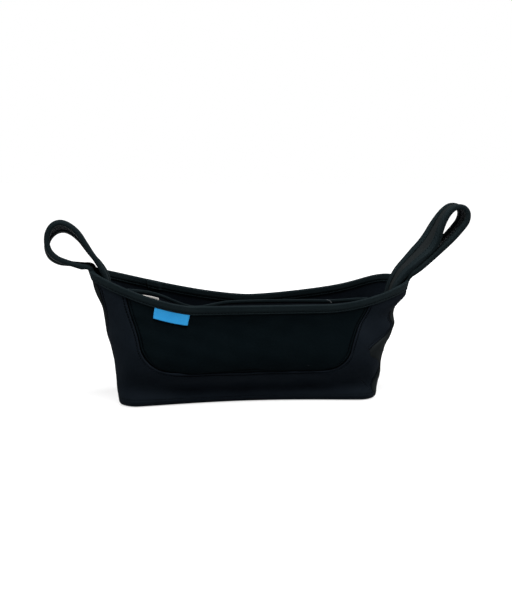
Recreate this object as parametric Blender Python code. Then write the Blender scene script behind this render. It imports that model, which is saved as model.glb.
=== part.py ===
"""Stroller organizer: a soft black bag that hangs from a handlebar by a strap loop at each end.

The body is one continuous wall that rises from a rounded oblong base to a boat-shaped rim. The wall is cut by seams
into a front (a U-shaped yoke round an inset pocket panel), a back and two gussets. Each gusset runs on past the rim
as a strap, which loops out and up, comes back and tucks inside. One tape binds every free edge.
Metres, +X to the wearer's right as the front is looked at, +Y to the back, +Z up, origin under the base.
"""

import math

import bmesh
import bpy
from mathutils import Vector

OBJECT = "stroller_organizer"

# Base
BASE_LENGTH = 0.308
BASE_DEPTH = 0.090
BASE_CORNER = 0.024
BASE_SHIFT = -0.004
BASE_BOW = 0.012
BASE_ROLL = 0.007
CORNER_SEAM_ANGLE = math.radians(75)

# Rim
RIM_LENGTH = 0.378
RIM_OPENING = 0.070
FRONT_HEIGHT = 0.1155
BACK_HEIGHT = 0.117
LEFT_END_HEIGHT = 0.156
RIGHT_END_HEIGHT = 0.140

# How the rim rises to its ends: the share of each half that stays level, then the power of the curve
FRONT_LEFT_LEVEL = 0.37
FRONT_LEFT_CURVE = 1.5
FRONT_RIGHT_LEVEL = 0.45
FRONT_RIGHT_CURVE = 1.8
BACK_CURVE = 1.5
RIM_TAPER = 6
WALL_FLARE = 1.7

# Front, back and end forms: how far each stands out, and its place and reach up the wall as shares
BELLY = 0.009
BELLY_PLACE = 0.45
BELLY_REACH = 0.25
CREASE = 0.006
CREASE_PLACE = 0.17
CREASE_REACH = 0.09
RIGHT_BUCKLE = 0.006
BUCKLE_PLACE = 0.56
BUCKLE_REACH = 0.13
RIGHT_DENT = 0.003
DENT_PLACE = 0.77
DENT_REACH = 0.09
BACK_BELLY = 0.004
GUSSET_BELLY = 0.003

# Fabric
FABRIC = 0.0022
LINING = 0.0010
LINING_INSET = 0.0012
TAPE = 0.0009
TAPE_WIDTH = 0.0085
PATCH = 0.0012
TAG_THICKNESS = 0.0006
SEAM_GAP = 0.0006
CLEARANCE = 0.0004
TAPE_SLACK = 0.0007
TUCK_CLEARANCE = 0.0032

# Straps
STRAP_WIDTH = 0.030
TIP_CORNER = 0.010
TUCK_DEPTH = 0.060
LINING_START = 0.016
LAP_LENGTH = 0.016

# Divider, tag and label
POUCH = 0.016
DIVIDER_THICKNESS = 0.0012
DIVIDER_RISE = 0.004
DIVIDER_BINDING = 0.0032
TAG_WIDTH = 0.042
TAG_HEIGHT = 0.0145
LABEL_WIDTH = 0.024
LABEL_HEIGHT = 0.016
PATCH_WIDTH = 0.011
PATCH_HEIGHT = 0.030

# Places along the rim, as shares of half its length from the middle
LAP_PLACE = -0.640
TAG_PLACE = -0.5185
LABEL_PLACE = -0.6085
SAG_PLACE = -0.36
SAG_REACH = 0.14

# The divider's form as shares: how it rounds into its sides, where it reaches its full pouch and where its top edge
# starts to rise, how much of the pouch and of the rise the sag takes, and how it makes way for the tape
DIVIDER_SIDE_POWER = 6
POUCH_TOP = 0.8
RISE_START = 0.7
SAG_OF_POUCH = 0.75
SAG_OF_RISE = 0.9
TAPE_WAY = 0.13
TAPE_WAY_LENGTH = 0.08

# Pocket panel outline, in the front's own coordinates: u runs -1 to 1 across, v 0 to 1 up
POCKET_SIDE = 0.755
POCKET_SHIFT = -0.033
POCKET_FOOT = 0.325
POCKET_CORNER_U = 0.22
POCKET_CORNER_V = 0.20

# The stations of each strap's path as it lies: outward and up from the strap's root, then the direction of its
# width from the front edge to the back edge
LEFT_LOOP = (
    ((0.0126, 0.0050), (0.00, 0.99, -0.14)),
    ((0.0251, 0.0085), (0.00, 0.97, -0.26)),
    ((0.0377, 0.0115), (0.00, 0.94, -0.34)),
    ((0.0474, 0.0185), (0.00, 0.92, -0.39)),
    ((0.0514, 0.0285), (0.00, 0.92, -0.39)),
    ((0.0488, 0.0390), (0.00, 0.92, -0.39)),
    ((0.0418, 0.0468), (0.00, 0.92, -0.39)),
    ((0.0329, 0.0500), (0.00, 0.92, -0.39)),
    ((0.0230, 0.0468), (0.00, 0.92, -0.39)),
    ((0.0135, 0.0383), (0.00, 0.92, -0.39)),
    ((0.0058, 0.0268), (0.00, 0.94, -0.34)),
    ((-0.0010, 0.0165), (0.00, 0.96, -0.26)),
    ((-0.0074, 0.0080), (0.00, 0.98, -0.17)),
    ((-0.0136, -0.0030), (0.00, 0.99, -0.09)),
    ((-0.0172, -0.0150), (0.00, 1.00, -0.03)),
)
RIGHT_LOOP = (
    ((0.0052, 0.0076), (0.00, 1.00, 0.00)),
    ((0.0155, 0.0151), (0.00, 1.00, 0.00)),
    ((0.0272, 0.0252), (0.00, 1.00, 0.00)),
    ((0.0398, 0.0366), (0.00, 1.00, 0.00)),
    ((0.0520, 0.0481), (0.00, 1.00, 0.00)),
    ((0.0624, 0.0596), (0.00, 1.00, 0.00)),
    ((0.0692, 0.0705), (0.00, 1.00, 0.00)),
    ((0.0702, 0.0807), (-0.04, 1.00, 0.04)),
    ((0.0642, 0.0882), (-0.10, 0.99, 0.10)),
    ((0.0552, 0.0886), (-0.20, 0.96, 0.17)),
    ((0.0479, 0.0825), (-0.29, 0.93, 0.22)),
    ((0.0400, 0.0727), (-0.40, 0.88, 0.24)),
    ((0.0340, 0.0625), (-0.48, 0.84, 0.26)),
    ((0.0287, 0.0514), (-0.46, 0.83, 0.31)),
    ((0.0199, 0.0399), (-0.39, 0.83, 0.38)),
    ((0.0072, 0.0312), (-0.28, 0.91, 0.28)),
    ((-0.0022, 0.0202), (-0.18, 0.96, 0.20)),
    ((-0.0096, 0.0075), (-0.08, 0.99, 0.10)),
    ((-0.0145, -0.0069), (0.00, 1.00, 0.04)),
)

# How far up the strap the wall's form fades out, how far on each side of its corner the tape takes to turn, and how
# far from its upright seams the wall is rounded
ROOT_BLEND = 0.012
CORNER_TURN = 0.008
CORNER_ROUND = 0.006

# The powers that keep the front's buckle and the front of each end wall close to their seam
BUCKLE_POWER = 6
GUSSET_POWER = 8

# How the tape folds: how far in from the edge its direction is read, and how much of its slack the corners of the
# fold keep
FOLD_READ = 0.002
FOLD_SHARE = 0.85

# Where the tape on a strap starts to take in the lining too, and over what length
CORE_START = 0.002
CORE_LENGTH = 0.009

# Steps in the meshes
FRONT_STEPS = 26
BACK_STEPS = 16
WALL_STEPS = 8
GUSSET_STEPS = 4
STRAP_STEP = 0.0094
ARC_STEPS = 4
POCKET_STEPS = 16
ABOVE_ARC_STEPS = 6
BASE_STEPS = 24
TIP_STEPS = 3
YOKE_ROWS = (0.0, 0.2, 0.4, 0.6)
LAP_STEP = 0.0005
NORMAL_STEP = 0.002

STRAP_CORE = FABRIC + CLEARANCE + LINING

COLOURS = {
    "fabric": (0.012, 0.016, 0.020),
    "pocket": (0.008, 0.014, 0.017),
    "lining": (0.045, 0.048, 0.050),
    "tape": (0.014, 0.017, 0.020),
    "hook": (0.010, 0.010, 0.011),
    "tag": (0.030, 0.320, 0.610),
    "label": (0.800, 0.800, 0.780),
}


def mix(a, b, share):
    return a + (b - a) * share


def clamp(value, low=0.0, high=1.0):
    return max(low, min(high, value))


def ease(value):
    value = clamp(value)
    return value * value * (3 - 2 * value)


def hump(value, middle, reach):
    return math.exp(-(((value - middle) / reach) ** 2))


# The wall


def base_front(u):
    """Half of the base's outline, from the middle of the front (u = 0) to the seam on the corner (u = 1)."""
    straight = BASE_LENGTH / 2 - BASE_CORNER
    along = abs(u) * (straight + BASE_CORNER * CORNER_SEAM_ANGLE)
    if along <= straight:
        x = along
        y = BASE_DEPTH / 2
    else:
        turn = (along - straight) / BASE_CORNER
        x = straight + BASE_CORNER * math.sin(turn)
        y = BASE_DEPTH / 2 - BASE_CORNER * (1 - math.cos(turn))
    return math.copysign(x, u), -y


def rim_half_depth(u):
    """Half of the rim's opening, front to back, which narrows to the strap's width at the two ends."""
    return STRAP_WIDTH / 2 + (RIM_OPENING - STRAP_WIDTH) / 2 * (1 - abs(u) ** RIM_TAPER)


def rim_rise(u, middle_height, level, curve):
    """The rim's height there: level round the middle, then a curve up to the end."""
    end_height = LEFT_END_HEIGHT if u < 0 else RIGHT_END_HEIGHT
    return mix(middle_height, end_height, clamp((abs(u) - level) / (1 - level)) ** curve)


def widening(v):
    """How far the wall has opened from the base's length to the rim's."""
    return max(v, 0.0) ** WALL_FLARE


def right_buckle(u, v):
    """How far the front's right corner stands out, with the dent above it."""
    out = RIGHT_BUCKLE * hump(v, BUCKLE_PLACE, BUCKLE_REACH) - RIGHT_DENT * hump(v, DENT_PLACE, DENT_REACH)
    return out * clamp(u) ** BUCKLE_POWER


def front_point(u, v):
    base_x, base_y = base_front(u)
    middle = 1 - u * u
    x = mix(base_x + BASE_SHIFT, u * RIM_LENGTH / 2, widening(v)) + right_buckle(u, v)
    y = mix(base_y, -rim_half_depth(u), v)
    y += BASE_BOW * middle * middle * (1 - v)
    y -= BELLY * max(0.0, middle) ** 0.5 * hump(v, BELLY_PLACE, BELLY_REACH)
    y += CREASE * (1 - u**4) * hump(v, CREASE_PLACE, CREASE_REACH)
    level, curve = (FRONT_LEFT_LEVEL, FRONT_LEFT_CURVE) if u < 0 else (FRONT_RIGHT_LEVEL, FRONT_RIGHT_CURVE)
    return Vector((x, y, v * rim_rise(u, FRONT_HEIGHT, level, curve)))


def back_point(u, v):
    base_x, base_y = base_front(u)
    x = mix(base_x + BASE_SHIFT, u * RIM_LENGTH / 2, widening(v))
    y = mix(-base_y, rim_half_depth(u), v) + BACK_BELLY * (1 - u * u) * hump(v, BELLY_PLACE, BELLY_REACH)
    return Vector((x, y, v * rim_rise(u, BACK_HEIGHT, 0.0, BACK_CURVE)))


def side_point(side, w, v):
    """The end wall. side is -1 at the left and 1 at the right, w is -1 at the front seam and 1 at the back seam."""
    front = front_point(side, v)
    back = back_point(side, v)
    middle = 1 - w * w
    reach = BASE_LENGTH / 2 - base_front(1.0)[0]
    swell = reach * max(0.0, middle) ** 0.5 * (1 - v) ** 2
    swell += GUSSET_BELLY * middle * hump(v, BELLY_PLACE, BELLY_REACH)
    share = (w + 1) / 2
    x = back.x + (front.x - back.x) * (1 - share) ** GUSSET_POWER + side * swell
    return Vector((x, mix(front.y, back.y, share), front.z))


def sharp_wall_point(place, v):
    """The wall before its corners are rounded, at a place round the ring: 0 to 1 front, 1 to 2 right, and so on."""
    place %= 4
    if place < 1:
        point = front_point(2 * place - 1, v)
    elif place < 2:
        point = side_point(1, 2 * (place - 1) - 1, v)
    elif place < 3:
        point = back_point(1 - 2 * (place - 2), v)
    else:
        point = side_point(-1, 1 - 2 * (place - 3), v)
    return point


def wall_point(place, v):
    """The outer face of the wall at a place round the ring: 0 to 1 front, 1 to 2 right, 2 to 3 back, 3 to 4 left."""
    seam = round(place)
    reaches = (CORNER_ROUND / RIM_LENGTH, CORNER_ROUND / STRAP_WIDTH)
    before, after = reaches if seam % 2 else reversed(reaches)
    t = 0.5 + (place - seam) / (2 * (before if place < seam else after))
    if not 0 < t < 1:
        return sharp_wall_point(place, v)
    near = sharp_wall_point(seam - before, v)
    far = sharp_wall_point(seam + after, v)
    corner = sharp_wall_point(seam, v)
    return near.lerp(corner, t).lerp(corner.lerp(far, t), t)


def wall_normal(place, v):
    here = wall_point(place, v)
    ahead = (wall_point(place + NORMAL_STEP, v) - here).normalized()
    behind = (here - wall_point(place - NORMAL_STEP, v)).normalized()
    above = (wall_point(place, v + NORMAL_STEP) - here).normalized()
    below = (here - wall_point(place, v - NORMAL_STEP)).normalized()
    return (ahead + behind).cross(above + below).normalized()


def wall(place, v, outward=0.0):
    """A point at a distance outward from the wall's outer face. The last stretch above the base rolls under."""
    normal = wall_normal(place, max(v, 0.0))
    point = wall_point(place, v) + normal * outward
    height = wall_point(place, 1.0).z
    low = clamp(1 - v * height / BASE_ROLL)
    if low > 0:
        turn = low * math.pi / 2
        flat = Vector((normal.x, normal.y, 0)).normalized()
        radius = BASE_ROLL + outward
        centre = wall_point(place, BASE_ROLL / height) - flat * BASE_ROLL
        centre.z = BASE_ROLL
        point = centre + flat * radius * math.cos(turn) + Vector((0, 0, -radius * math.sin(turn)))
    return point


def front(u, v, outward=0.0):
    return wall((u + 1) / 2, v, outward)


def back(u, v, outward=0.0):
    return wall(2 + (1 - u) / 2, v, outward)


def side_place(side, w):
    return 1 + (w + 1) / 2 if side > 0 else 3 + (1 - w) / 2


def rim_height(place):
    return wall_point(place, 1.0).z


# The straps


class Strap:
    """A strap's path: a smooth curve through its stations, read by the distance from the rim."""

    def __init__(self, side, loop):
        self.side = side
        middle = side_place(side, 0.0)
        root = wall(middle, 1.0, -STRAP_CORE / 2)
        across = Vector((0, 1, 0))
        stations = [(wall(middle, v, -STRAP_CORE / 2), across) for v in (0.90, 0.95)]
        stations.append((root, across))
        for (out, rise), width in loop:
            stations.append((root + Vector((side * out, 0, rise)), Vector(width).normalized()))
        inside = FABRIC + TAPE + TAPE_SLACK + TUCK_CLEARANCE + STRAP_CORE / 2
        end = 1 - TUCK_DEPTH / rim_height(middle)
        for share in (0.45, 0.70, 0.90, 1.10):
            stations.append((wall(middle, mix(1.0, end, share), -inside), across))
        self.points, self.widths = self.smooth(stations)
        self.lengths = [0.0]
        for a, b in zip(self.points, self.points[1:]):
            self.lengths.append(self.lengths[-1] + (b - a).length)
        self.root = self.lengths[self.nearest(root)]
        self.length = self.lengths[self.nearest(wall(middle, end, -inside))] - self.root

    @staticmethod
    def smooth(stations, steps=10):
        """A curve through the stations, each stretch shaped by the stations beside it."""
        points = []
        widths = []
        last = len(stations) - 1
        for i in range(last):
            near = [stations[clamp(k, 0, last)] for k in (i - 1, i, i + 1, i + 2)]
            for step in range(steps):
                t = step / steps
                weights = (
                    (-t**3 + 2 * t**2 - t) / 2,
                    (3 * t**3 - 5 * t**2 + 2) / 2,
                    (-3 * t**3 + 4 * t**2 + t) / 2,
                    (t**3 - t**2) / 2,
                )
                points.append(sum((n[0] * k for n, k in zip(near, weights)), Vector()))
                widths.append(sum((n[1] * k for n, k in zip(near, weights)), Vector()).normalized())
        points.append(stations[last][0])
        widths.append(stations[last][1])
        return points, widths

    def nearest(self, point):
        return min(range(len(self.points)), key=lambda i: (self.points[i] - point).length)

    def at(self, distance):
        """The middle of the strap there, its width direction and the direction that its outer face looks."""
        goal = self.root + distance
        i = 1
        while i < len(self.points) - 1 and self.lengths[i] < goal:
            i += 1
        share = (goal - self.lengths[i - 1]) / (self.lengths[i] - self.lengths[i - 1])
        middle = self.points[i - 1].lerp(self.points[i], share)
        width = self.widths[i - 1].lerp(self.widths[i], clamp(share)).normalized()
        low = max(i - 3, 0)
        high = min(i + 2, len(self.points) - 1)
        along = (self.points[high] - self.points[low]).normalized()
        outer = along.cross(width) if self.side < 0 else width.cross(along)
        return middle, width, outer.normalized()

    def point(self, across, distance, outward=0.0):
        """across is the distance from the front edge, distance is from the rim, outward is from the outer face."""
        middle, width, outer = self.at(distance)
        flat = middle + width * (across - STRAP_WIDTH / 2) + outer * (outward + STRAP_CORE / 2)
        if distance >= ROOT_BLEND:
            return flat
        w = clamp(2 * across / STRAP_WIDTH - 1, -1, 1)
        place = side_place(self.side, w)
        on_wall = wall(place, 1 + distance / rim_height(place), outward)
        return on_wall.lerp(flat, ease(distance / ROOT_BLEND))

    def half_width(self, distance):
        """Half of the width there, which the rounded corners of the tip take in."""
        past = clamp(distance - (self.length - TIP_CORNER), 0, TIP_CORNER)
        return STRAP_WIDTH / 2 - TIP_CORNER + math.sqrt(max(TIP_CORNER**2 - past**2, 0))


STRAPS = {-1: Strap(-1, LEFT_LOOP), 1: Strap(1, RIGHT_LOOP)}


# Meshes


def colour_material(name):
    material = bpy.data.materials.get(name)
    if material is None:
        material = bpy.data.materials.new(name)
        material.use_nodes = True
        shader = material.node_tree.nodes["Principled BSDF"]
        shader.inputs["Base Color"].default_value = (*COLOURS[name], 1)
        shader.inputs["Roughness"].default_value = 0.85
        shader.inputs["Metallic"].default_value = 0.0
    return material


def add_solid(name, points, faces, colour):
    """One closed body, with its faces turned outward and its soft edges shaded smooth."""
    mesh = bpy.data.meshes.new(name)
    mesh.from_pydata([tuple(p) for p in points], [], faces)
    body = bmesh.new()
    body.from_mesh(mesh)
    bmesh.ops.recalc_face_normals(body, faces=body.faces)
    if body.calc_volume(signed=True) < 0:
        bmesh.ops.reverse_faces(body, faces=body.faces)
    body.to_mesh(mesh)
    body.free()
    mesh.shade_smooth()
    mesh.set_sharp_from_angle(angle=math.radians(50))
    mesh.materials.append(colour_material(colour))
    thing = bpy.data.objects.new(name, mesh)
    bpy.data.collections[OBJECT].objects.link(thing)
    return thing


def add_sheet(name, outer, inner, colour):
    """A sheet of fabric, lofted between its two faces, each of them rows of points."""
    rows = len(outer)
    across = len(outer[0])
    points = [p for row in outer for p in row] + [p for row in inner for p in row]
    half = rows * across
    faces = []
    for i in range(rows - 1):
        for j in range(across - 1):
            a = i * across + j
            faces.append((a, a + 1, a + across + 1, a + across))
            faces.append((half + a, half + a + across, half + a + across + 1, half + a + 1))
    border = list(range(across))
    border += [i * across + across - 1 for i in range(1, rows)]
    border += [(rows - 1) * across + j for j in range(across - 2, -1, -1)]
    border += [i * across for i in range(rows - 2, 0, -1)]
    for a, b in zip(border, border[1:] + border[:1]):
        faces.append((b, a, half + a, half + b))
    return add_solid(name, points, faces, colour)


def add_tube(name, sections, closed, colour):
    """A solid swept through sections that have the same number of points."""
    count = len(sections[0])
    points = [p for section in sections for p in section]
    faces = []
    total = len(sections)
    for i in range(total if closed else total - 1):
        near = i * count
        far = ((i + 1) % total) * count
        for j in range(count):
            k = (j + 1) % count
            faces.append((near + j, near + k, far + k, far + j))
    if not closed:
        faces.append(tuple(range(count)))
        faces.append(tuple(reversed(range((total - 1) * count, total * count))))
    return add_solid(name, points, faces, colour)


def spaced(steps, crowd=0.4):
    """Places from -1 to 1 that stand closer together towards the two ends."""
    places = []
    for i in range(steps + 1):
        t = 2 * i / steps - 1
        places.append(mix(t, math.sin(t * math.pi / 2), crowd))
    return places


def wall_rows(top=1.0):
    """Heights up the wall as shares, with the roll above the base and the forms of the front in enough steps."""
    roll = BASE_ROLL / FRONT_HEIGHT
    rows = [0.0, roll * 0.3, roll * 0.6, roll]
    rows += [mix(roll, top, (i + 1) / WALL_STEPS) for i in range(WALL_STEPS)]
    return rows


# Panels


def trimmed(row):
    """The row with its two ends drawn in from the seams."""
    first = row[0] + (row[1] - row[0]).normalized() * (SEAM_GAP / 2)
    last = row[-1] + (row[-2] - row[-1]).normalized() * (SEAM_GAP / 2)
    return [first] + row[1:-1] + [last]


def drawn_in(line, towards, distance):
    """The line's points, moved a distance towards those of the next line."""
    return [a + (b - a).normalized() * distance for a, b in zip(line, towards)]


def pocket_half(v, inset=0.0):
    """Half of the pocket panel's width at a height, in u, with the corners at its foot rounded."""
    foot = POCKET_FOOT + inset / FRONT_HEIGHT
    below = clamp((foot + POCKET_CORNER_V - v) / POCKET_CORNER_V)
    side = POCKET_SIDE - inset / (BASE_LENGTH / 2)
    return side - POCKET_CORNER_U * (1 - math.sqrt(max(0.0, 1 - below * below)))


def pocket_heights(inset=0.0):
    """Heights of the pocket panel's rows, from its foot to the rim."""
    foot = POCKET_FOOT + inset / FRONT_HEIGHT
    heights = []
    for i in range(ARC_STEPS + 1):
        heights.append(foot + POCKET_CORNER_V * (1 - math.cos(i / ARC_STEPS * math.pi / 2)))
    heights += [mix(heights[-1], 1.0, (i + 1) / ABOVE_ARC_STEPS) for i in range(ABOVE_ARC_STEPS)]
    return heights


def pocket_grid(inset=0.0):
    """The rows of the pocket panel as pairs of u and v, from its foot to the rim."""
    grid = []
    for v in pocket_heights(inset):
        half = pocket_half(v, inset)
        grid.append([(POCKET_SHIFT + half * (2 * j / POCKET_STEPS - 1), v) for j in range(POCKET_STEPS + 1)])
    return grid


def add_front_pocket_panel():
    grid = pocket_grid(SEAM_GAP)
    outer = [[front(u, v) for u, v in row] for row in grid]
    inner = [[front(u, v, -FABRIC) for u, v in row] for row in grid]
    return add_sheet("front_pocket_panel", outer, inner, "pocket")


def add_front_panel():
    """The yoke: from the U-shaped seam out to the gusset seams and the base."""
    grid = pocket_grid()
    left = [row[0] for row in reversed(grid)]
    right = [row[-1] for row in grid]
    seam = left + grid[0][1:-1] + right
    middle = len(seam) // 2
    corner = len(grid) - 1 - ARC_STEPS // 2
    border = []
    for i in range(len(seam)):
        k = min(i, len(seam) - 1 - i)
        sign = -1 if i <= middle else 1
        if k <= corner:
            border.append((sign, 1 - k / corner))
        else:
            border.append((sign * (middle - k) / (middle - corner), 0.0))
    roll = BASE_ROLL / FRONT_HEIGHT / POCKET_FOOT
    outer = []
    inner = []
    for share in YOKE_ROWS + (1 - roll, 1 - roll * 0.6, 1 - roll * 0.3, 1.0):
        line = [(mix(a[0], b[0], share), mix(a[1], b[1], share)) for a, b in zip(seam, border)]
        outer.append([front(u, v) for u, v in line])
        inner.append([front(u, v, -FABRIC) for u, v in line])
    for lines in (outer, inner):
        lines[0] = drawn_in(lines[0], lines[1], SEAM_GAP / 2)
        lines[-1] = drawn_in(lines[-1], lines[-2], SEAM_GAP * 0.75)
    return add_sheet("front_panel", outer, inner, "fabric")


def rim_places(steps):
    """Places across the rim from -1 to 1, and those past the tape's turn at each end."""
    straight = 1 - 1.5 * CORNER_TURN / (RIM_LENGTH / 2)
    turning = [1 - CORNER_TURN * share / (RIM_LENGTH / 2) for share in (1, 0.5, 0)]
    along = [u for u in spaced(steps) if abs(u) < straight]
    return [-u for u in reversed(turning)], along, turning


def add_back_panel():
    left_end, along, right_end = rim_places(BACK_STEPS)
    across = left_end + along + right_end
    rows = wall_rows()
    outer = [trimmed([back(u, v) for u in across]) for v in rows]
    inner = [trimmed([back(u, v, -FABRIC) for u in across]) for v in rows]
    return add_sheet("back_panel", outer, inner, "fabric")


def strap_distances(strap):
    """Distances along the strap from the rim, closer together at its root and at its tip."""
    near = [ROOT_BLEND * share for share in (0.25, 0.5, 0.75, 1.0, 1.5, 2.0)]
    plain = strap.length - TIP_CORNER - near[-1]
    count = round(plain / STRAP_STEP)
    far = [near[-1] + plain * (i + 1) / count for i in range(count)]
    turns = [math.pi / 2 * (i + 1) / TIP_STEPS for i in range(TIP_STEPS)]
    tip = [strap.length - TIP_CORNER * (1 - math.sin(turn)) for turn in turns]
    return near + far + tip


def add_gusset(name, side):
    """The end wall and the strap that it runs on into, as one piece of fabric."""
    strap = STRAPS[side]
    across = [2 * j / GUSSET_STEPS - 1 for j in range(GUSSET_STEPS + 1)]
    rows = wall_rows()
    outer = [trimmed([wall(side_place(side, w), v) for w in across]) for v in rows]
    inner = [trimmed([wall(side_place(side, w), v, -FABRIC) for w in across]) for v in rows]
    for distance in strap_distances(strap):
        half = strap.half_width(distance)
        places = [STRAP_WIDTH / 2 + half * w for w in across]
        outer.append([strap.point(a, distance) for a in places])
        inner.append([strap.point(a, distance, -FABRIC) for a in places])
    return add_sheet(name, outer, inner, "fabric")


def add_base_panel():
    """A flat piece inside the ring that the rolled foot of the wall leaves."""
    long_side = [(u + 1) / 2 for u in spaced(BASE_STEPS, 0.6)]
    short_side = [i / 8 for i in range(1, 8)]
    places = long_side + [1 + share for share in short_side]
    places += [2 + share for share in long_side] + [3 + share for share in short_side]
    ring = []
    for place in places:
        normal = wall_normal(place, 0.0)
        ring.append(wall(place, 0.0) - Vector((normal.x, normal.y, 0)).normalized() * 2.5 * SEAM_GAP)
    low = [Vector((p.x, p.y, 0)) for p in ring]
    high = [Vector((p.x, p.y, FABRIC)) for p in ring]
    return add_tube("base_panel", [low, high], False, "fabric")


# Edge tape


def tape_section(surface, core, extra=0.0):
    """A U of tape over an edge. surface(depth, outward) gives a point at a depth in from the edge.

    extra is how much thicker the outer leaf is, where the tape's two ends lap.
    """
    over = TAPE_SLACK
    under = -core - TAPE_SLACK
    middle = (surface(0.0, 0.0) + surface(0.0, -core)) / 2
    thick = surface(0.0, 0.0) - surface(0.0, -core)
    outer = thick.normalized()
    away = middle - (surface(FOLD_READ, 0.0) + surface(FOLD_READ, -core)) / 2
    away = (away - outer * away.dot(outer)).normalized()
    half = thick.length / 2 + TAPE_SLACK
    corner = TAPE_SLACK * FOLD_SHARE

    def fold(distance, outward):
        return middle + away * distance + outer * outward

    return [
        surface(TAPE_WIDTH, over + TAPE + extra),
        surface(TAPE_WIDTH / 2, over + TAPE + extra),
        fold(corner, half + TAPE + extra),
        fold(TAPE_SLACK + TAPE + extra, 0.0),
        fold(corner, -half - TAPE),
        surface(TAPE_WIDTH / 2, under - TAPE),
        surface(TAPE_WIDTH, under - TAPE),
        surface(TAPE_WIDTH, under),
        surface(TAPE_WIDTH / 2, under),
        fold(corner, -half),
        fold(corner, half),
        surface(TAPE_WIDTH / 2, over),
        surface(TAPE_WIDTH, over),
    ]


def rim_stretch(panel, u):
    """How much longer a plumb line across the tape is than the tape's width, where the rim slopes."""
    point = front_point if panel == "front" else back_point
    run = point(u + NORMAL_STEP, 1.0) - point(u - NORMAL_STEP, 1.0)
    return run.length / math.hypot(run.x, run.y)


def rim_section(panel, u):
    """The tape's section on the rim of the front or the back."""
    face = front if panel == "front" else back
    height = rim_height((u + 1) / 2 if panel == "front" else 2 + (1 - u) / 2)
    stretch = rim_stretch(panel, u)

    def surface(depth, outward):
        return face(u, 1 - depth * stretch / height, outward)

    on_lap = panel == "back" and LAP_PLACE < u < LAP_PLACE + LAP_LENGTH / (RIM_LENGTH / 2)
    return tape_section(surface, FABRIC, TAPE if on_lap else 0.0)


def corner_surface(strap, edge, along, rise, outward):
    """A point near a strap's root: along is in from the seam, rise is up from the rim. edge is 0 front, 1 back."""
    if along >= 0:
        across = STRAP_WIDTH - along if edge else along
        if rise >= 0:
            return strap.point(across, rise, outward)
        place = side_place(strap.side, 2 * across / STRAP_WIDTH - 1)
    else:
        u = strap.side * (1 + along / (RIM_LENGTH / 2))
        place = 2 + (1 - u) / 2 if edge else (u + 1) / 2
    return wall(place, 1 + rise / rim_height(place), outward)


def strap_section(strap, distance, edge):
    """The tape's section on a strap's front edge (edge 0) or back edge (edge 1), and, below 0, on the rim beside it."""
    turned = ease((distance + CORNER_TURN) / (2 * CORNER_TURN))
    turn = math.pi / 2 * turned
    beside = 1 - max(-distance / (RIM_LENGTH / 2), NORMAL_STEP)
    stretch = mix(rim_stretch("back" if edge else "front", strap.side * beside), 1.0, turned)
    core = mix(FABRIC, STRAP_CORE, ease((distance - CORE_START) / CORE_LENGTH))

    def surface(depth, outward):
        along = min(distance, 0.0) + depth * math.sin(turn)
        rise = max(distance, 0.0) - depth * stretch * math.cos(turn)
        return corner_surface(strap, edge, along, rise, outward)

    return tape_section(surface, core)


def tip_sections(strap):
    """Round the strap's tip, from its front edge to its back edge."""
    sections = []
    for corner in (0, 1):
        for i in range(TIP_STEPS + 1):
            angle = math.pi / 2 * i / TIP_STEPS
            if corner:
                angle = math.pi / 2 - angle
            sections.append(tip_section(strap, corner, angle))
    return sections


def tip_section(strap, corner, angle):
    """angle is 0 on the strap's side and a quarter turn at its end."""

    def surface(depth, outward):
        radius = TIP_CORNER - depth
        across = TIP_CORNER - radius * math.cos(angle)
        if corner:
            across = STRAP_WIDTH - across
        distance = strap.length - TIP_CORNER + radius * math.sin(angle)
        return strap.point(across, distance, outward)

    return tape_section(surface, STRAP_CORE)


def strap_tape(side):
    strap = STRAPS[side]
    distances = [-CORNER_TURN, -CORNER_TURN / 2, 0.0] + strap_distances(strap)[:-TIP_STEPS - 1]
    front_edge = [strap_section(strap, d, 0) for d in distances]
    back_edge = [strap_section(strap, d, 1) for d in reversed(distances)]
    return front_edge + tip_sections(strap) + back_edge


def add_edge_binding():
    """One tape round the whole opening: front rim, right strap, back rim and left strap. Its ends lap at the back."""
    sections = [rim_section("front", u) for u in rim_places(FRONT_STEPS)[1]]
    sections += strap_tape(1)
    back_line = rim_places(BACK_STEPS)[1]
    ends = (LAP_PLACE, LAP_PLACE + LAP_LENGTH / (RIM_LENGTH / 2))
    laps = [u + step for u in ends for step in (-LAP_STEP, LAP_STEP)]
    back_line = [u for u in back_line if not laps[0] - CORNER_TURN < u < laps[-1] + CORNER_TURN]
    back_line = sorted(back_line + laps, reverse=True)
    sections += [rim_section("back", u) for u in back_line]
    sections += list(reversed(strap_tape(-1)))
    return add_tube("edge_binding", sections, True, "tape")


# Linings, patches, divider, tag and label


def add_strap_lining(name, side):
    """The soft strip on the inner face of a strap. It lies between the fabric and the tape's inner edge."""
    strap = STRAPS[side]
    end = strap.length - LINING_INSET
    inner_face = -FABRIC - CLEARANCE
    between = [d for d in strap_distances(strap) if LINING_START + CLEARANCE < d < end - CLEARANCE]
    outer = []
    inner = []
    for distance in [LINING_START] + between + [end]:
        half = strap.half_width(distance) - LINING_INSET
        places = [STRAP_WIDTH / 2 - half, STRAP_WIDTH / 2, STRAP_WIDTH / 2 + half]
        outer.append([strap.point(a, distance, inner_face) for a in places])
        inner.append([strap.point(a, distance, inner_face - LINING) for a in places])
    return add_sheet(name, outer, inner, "lining")


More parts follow.
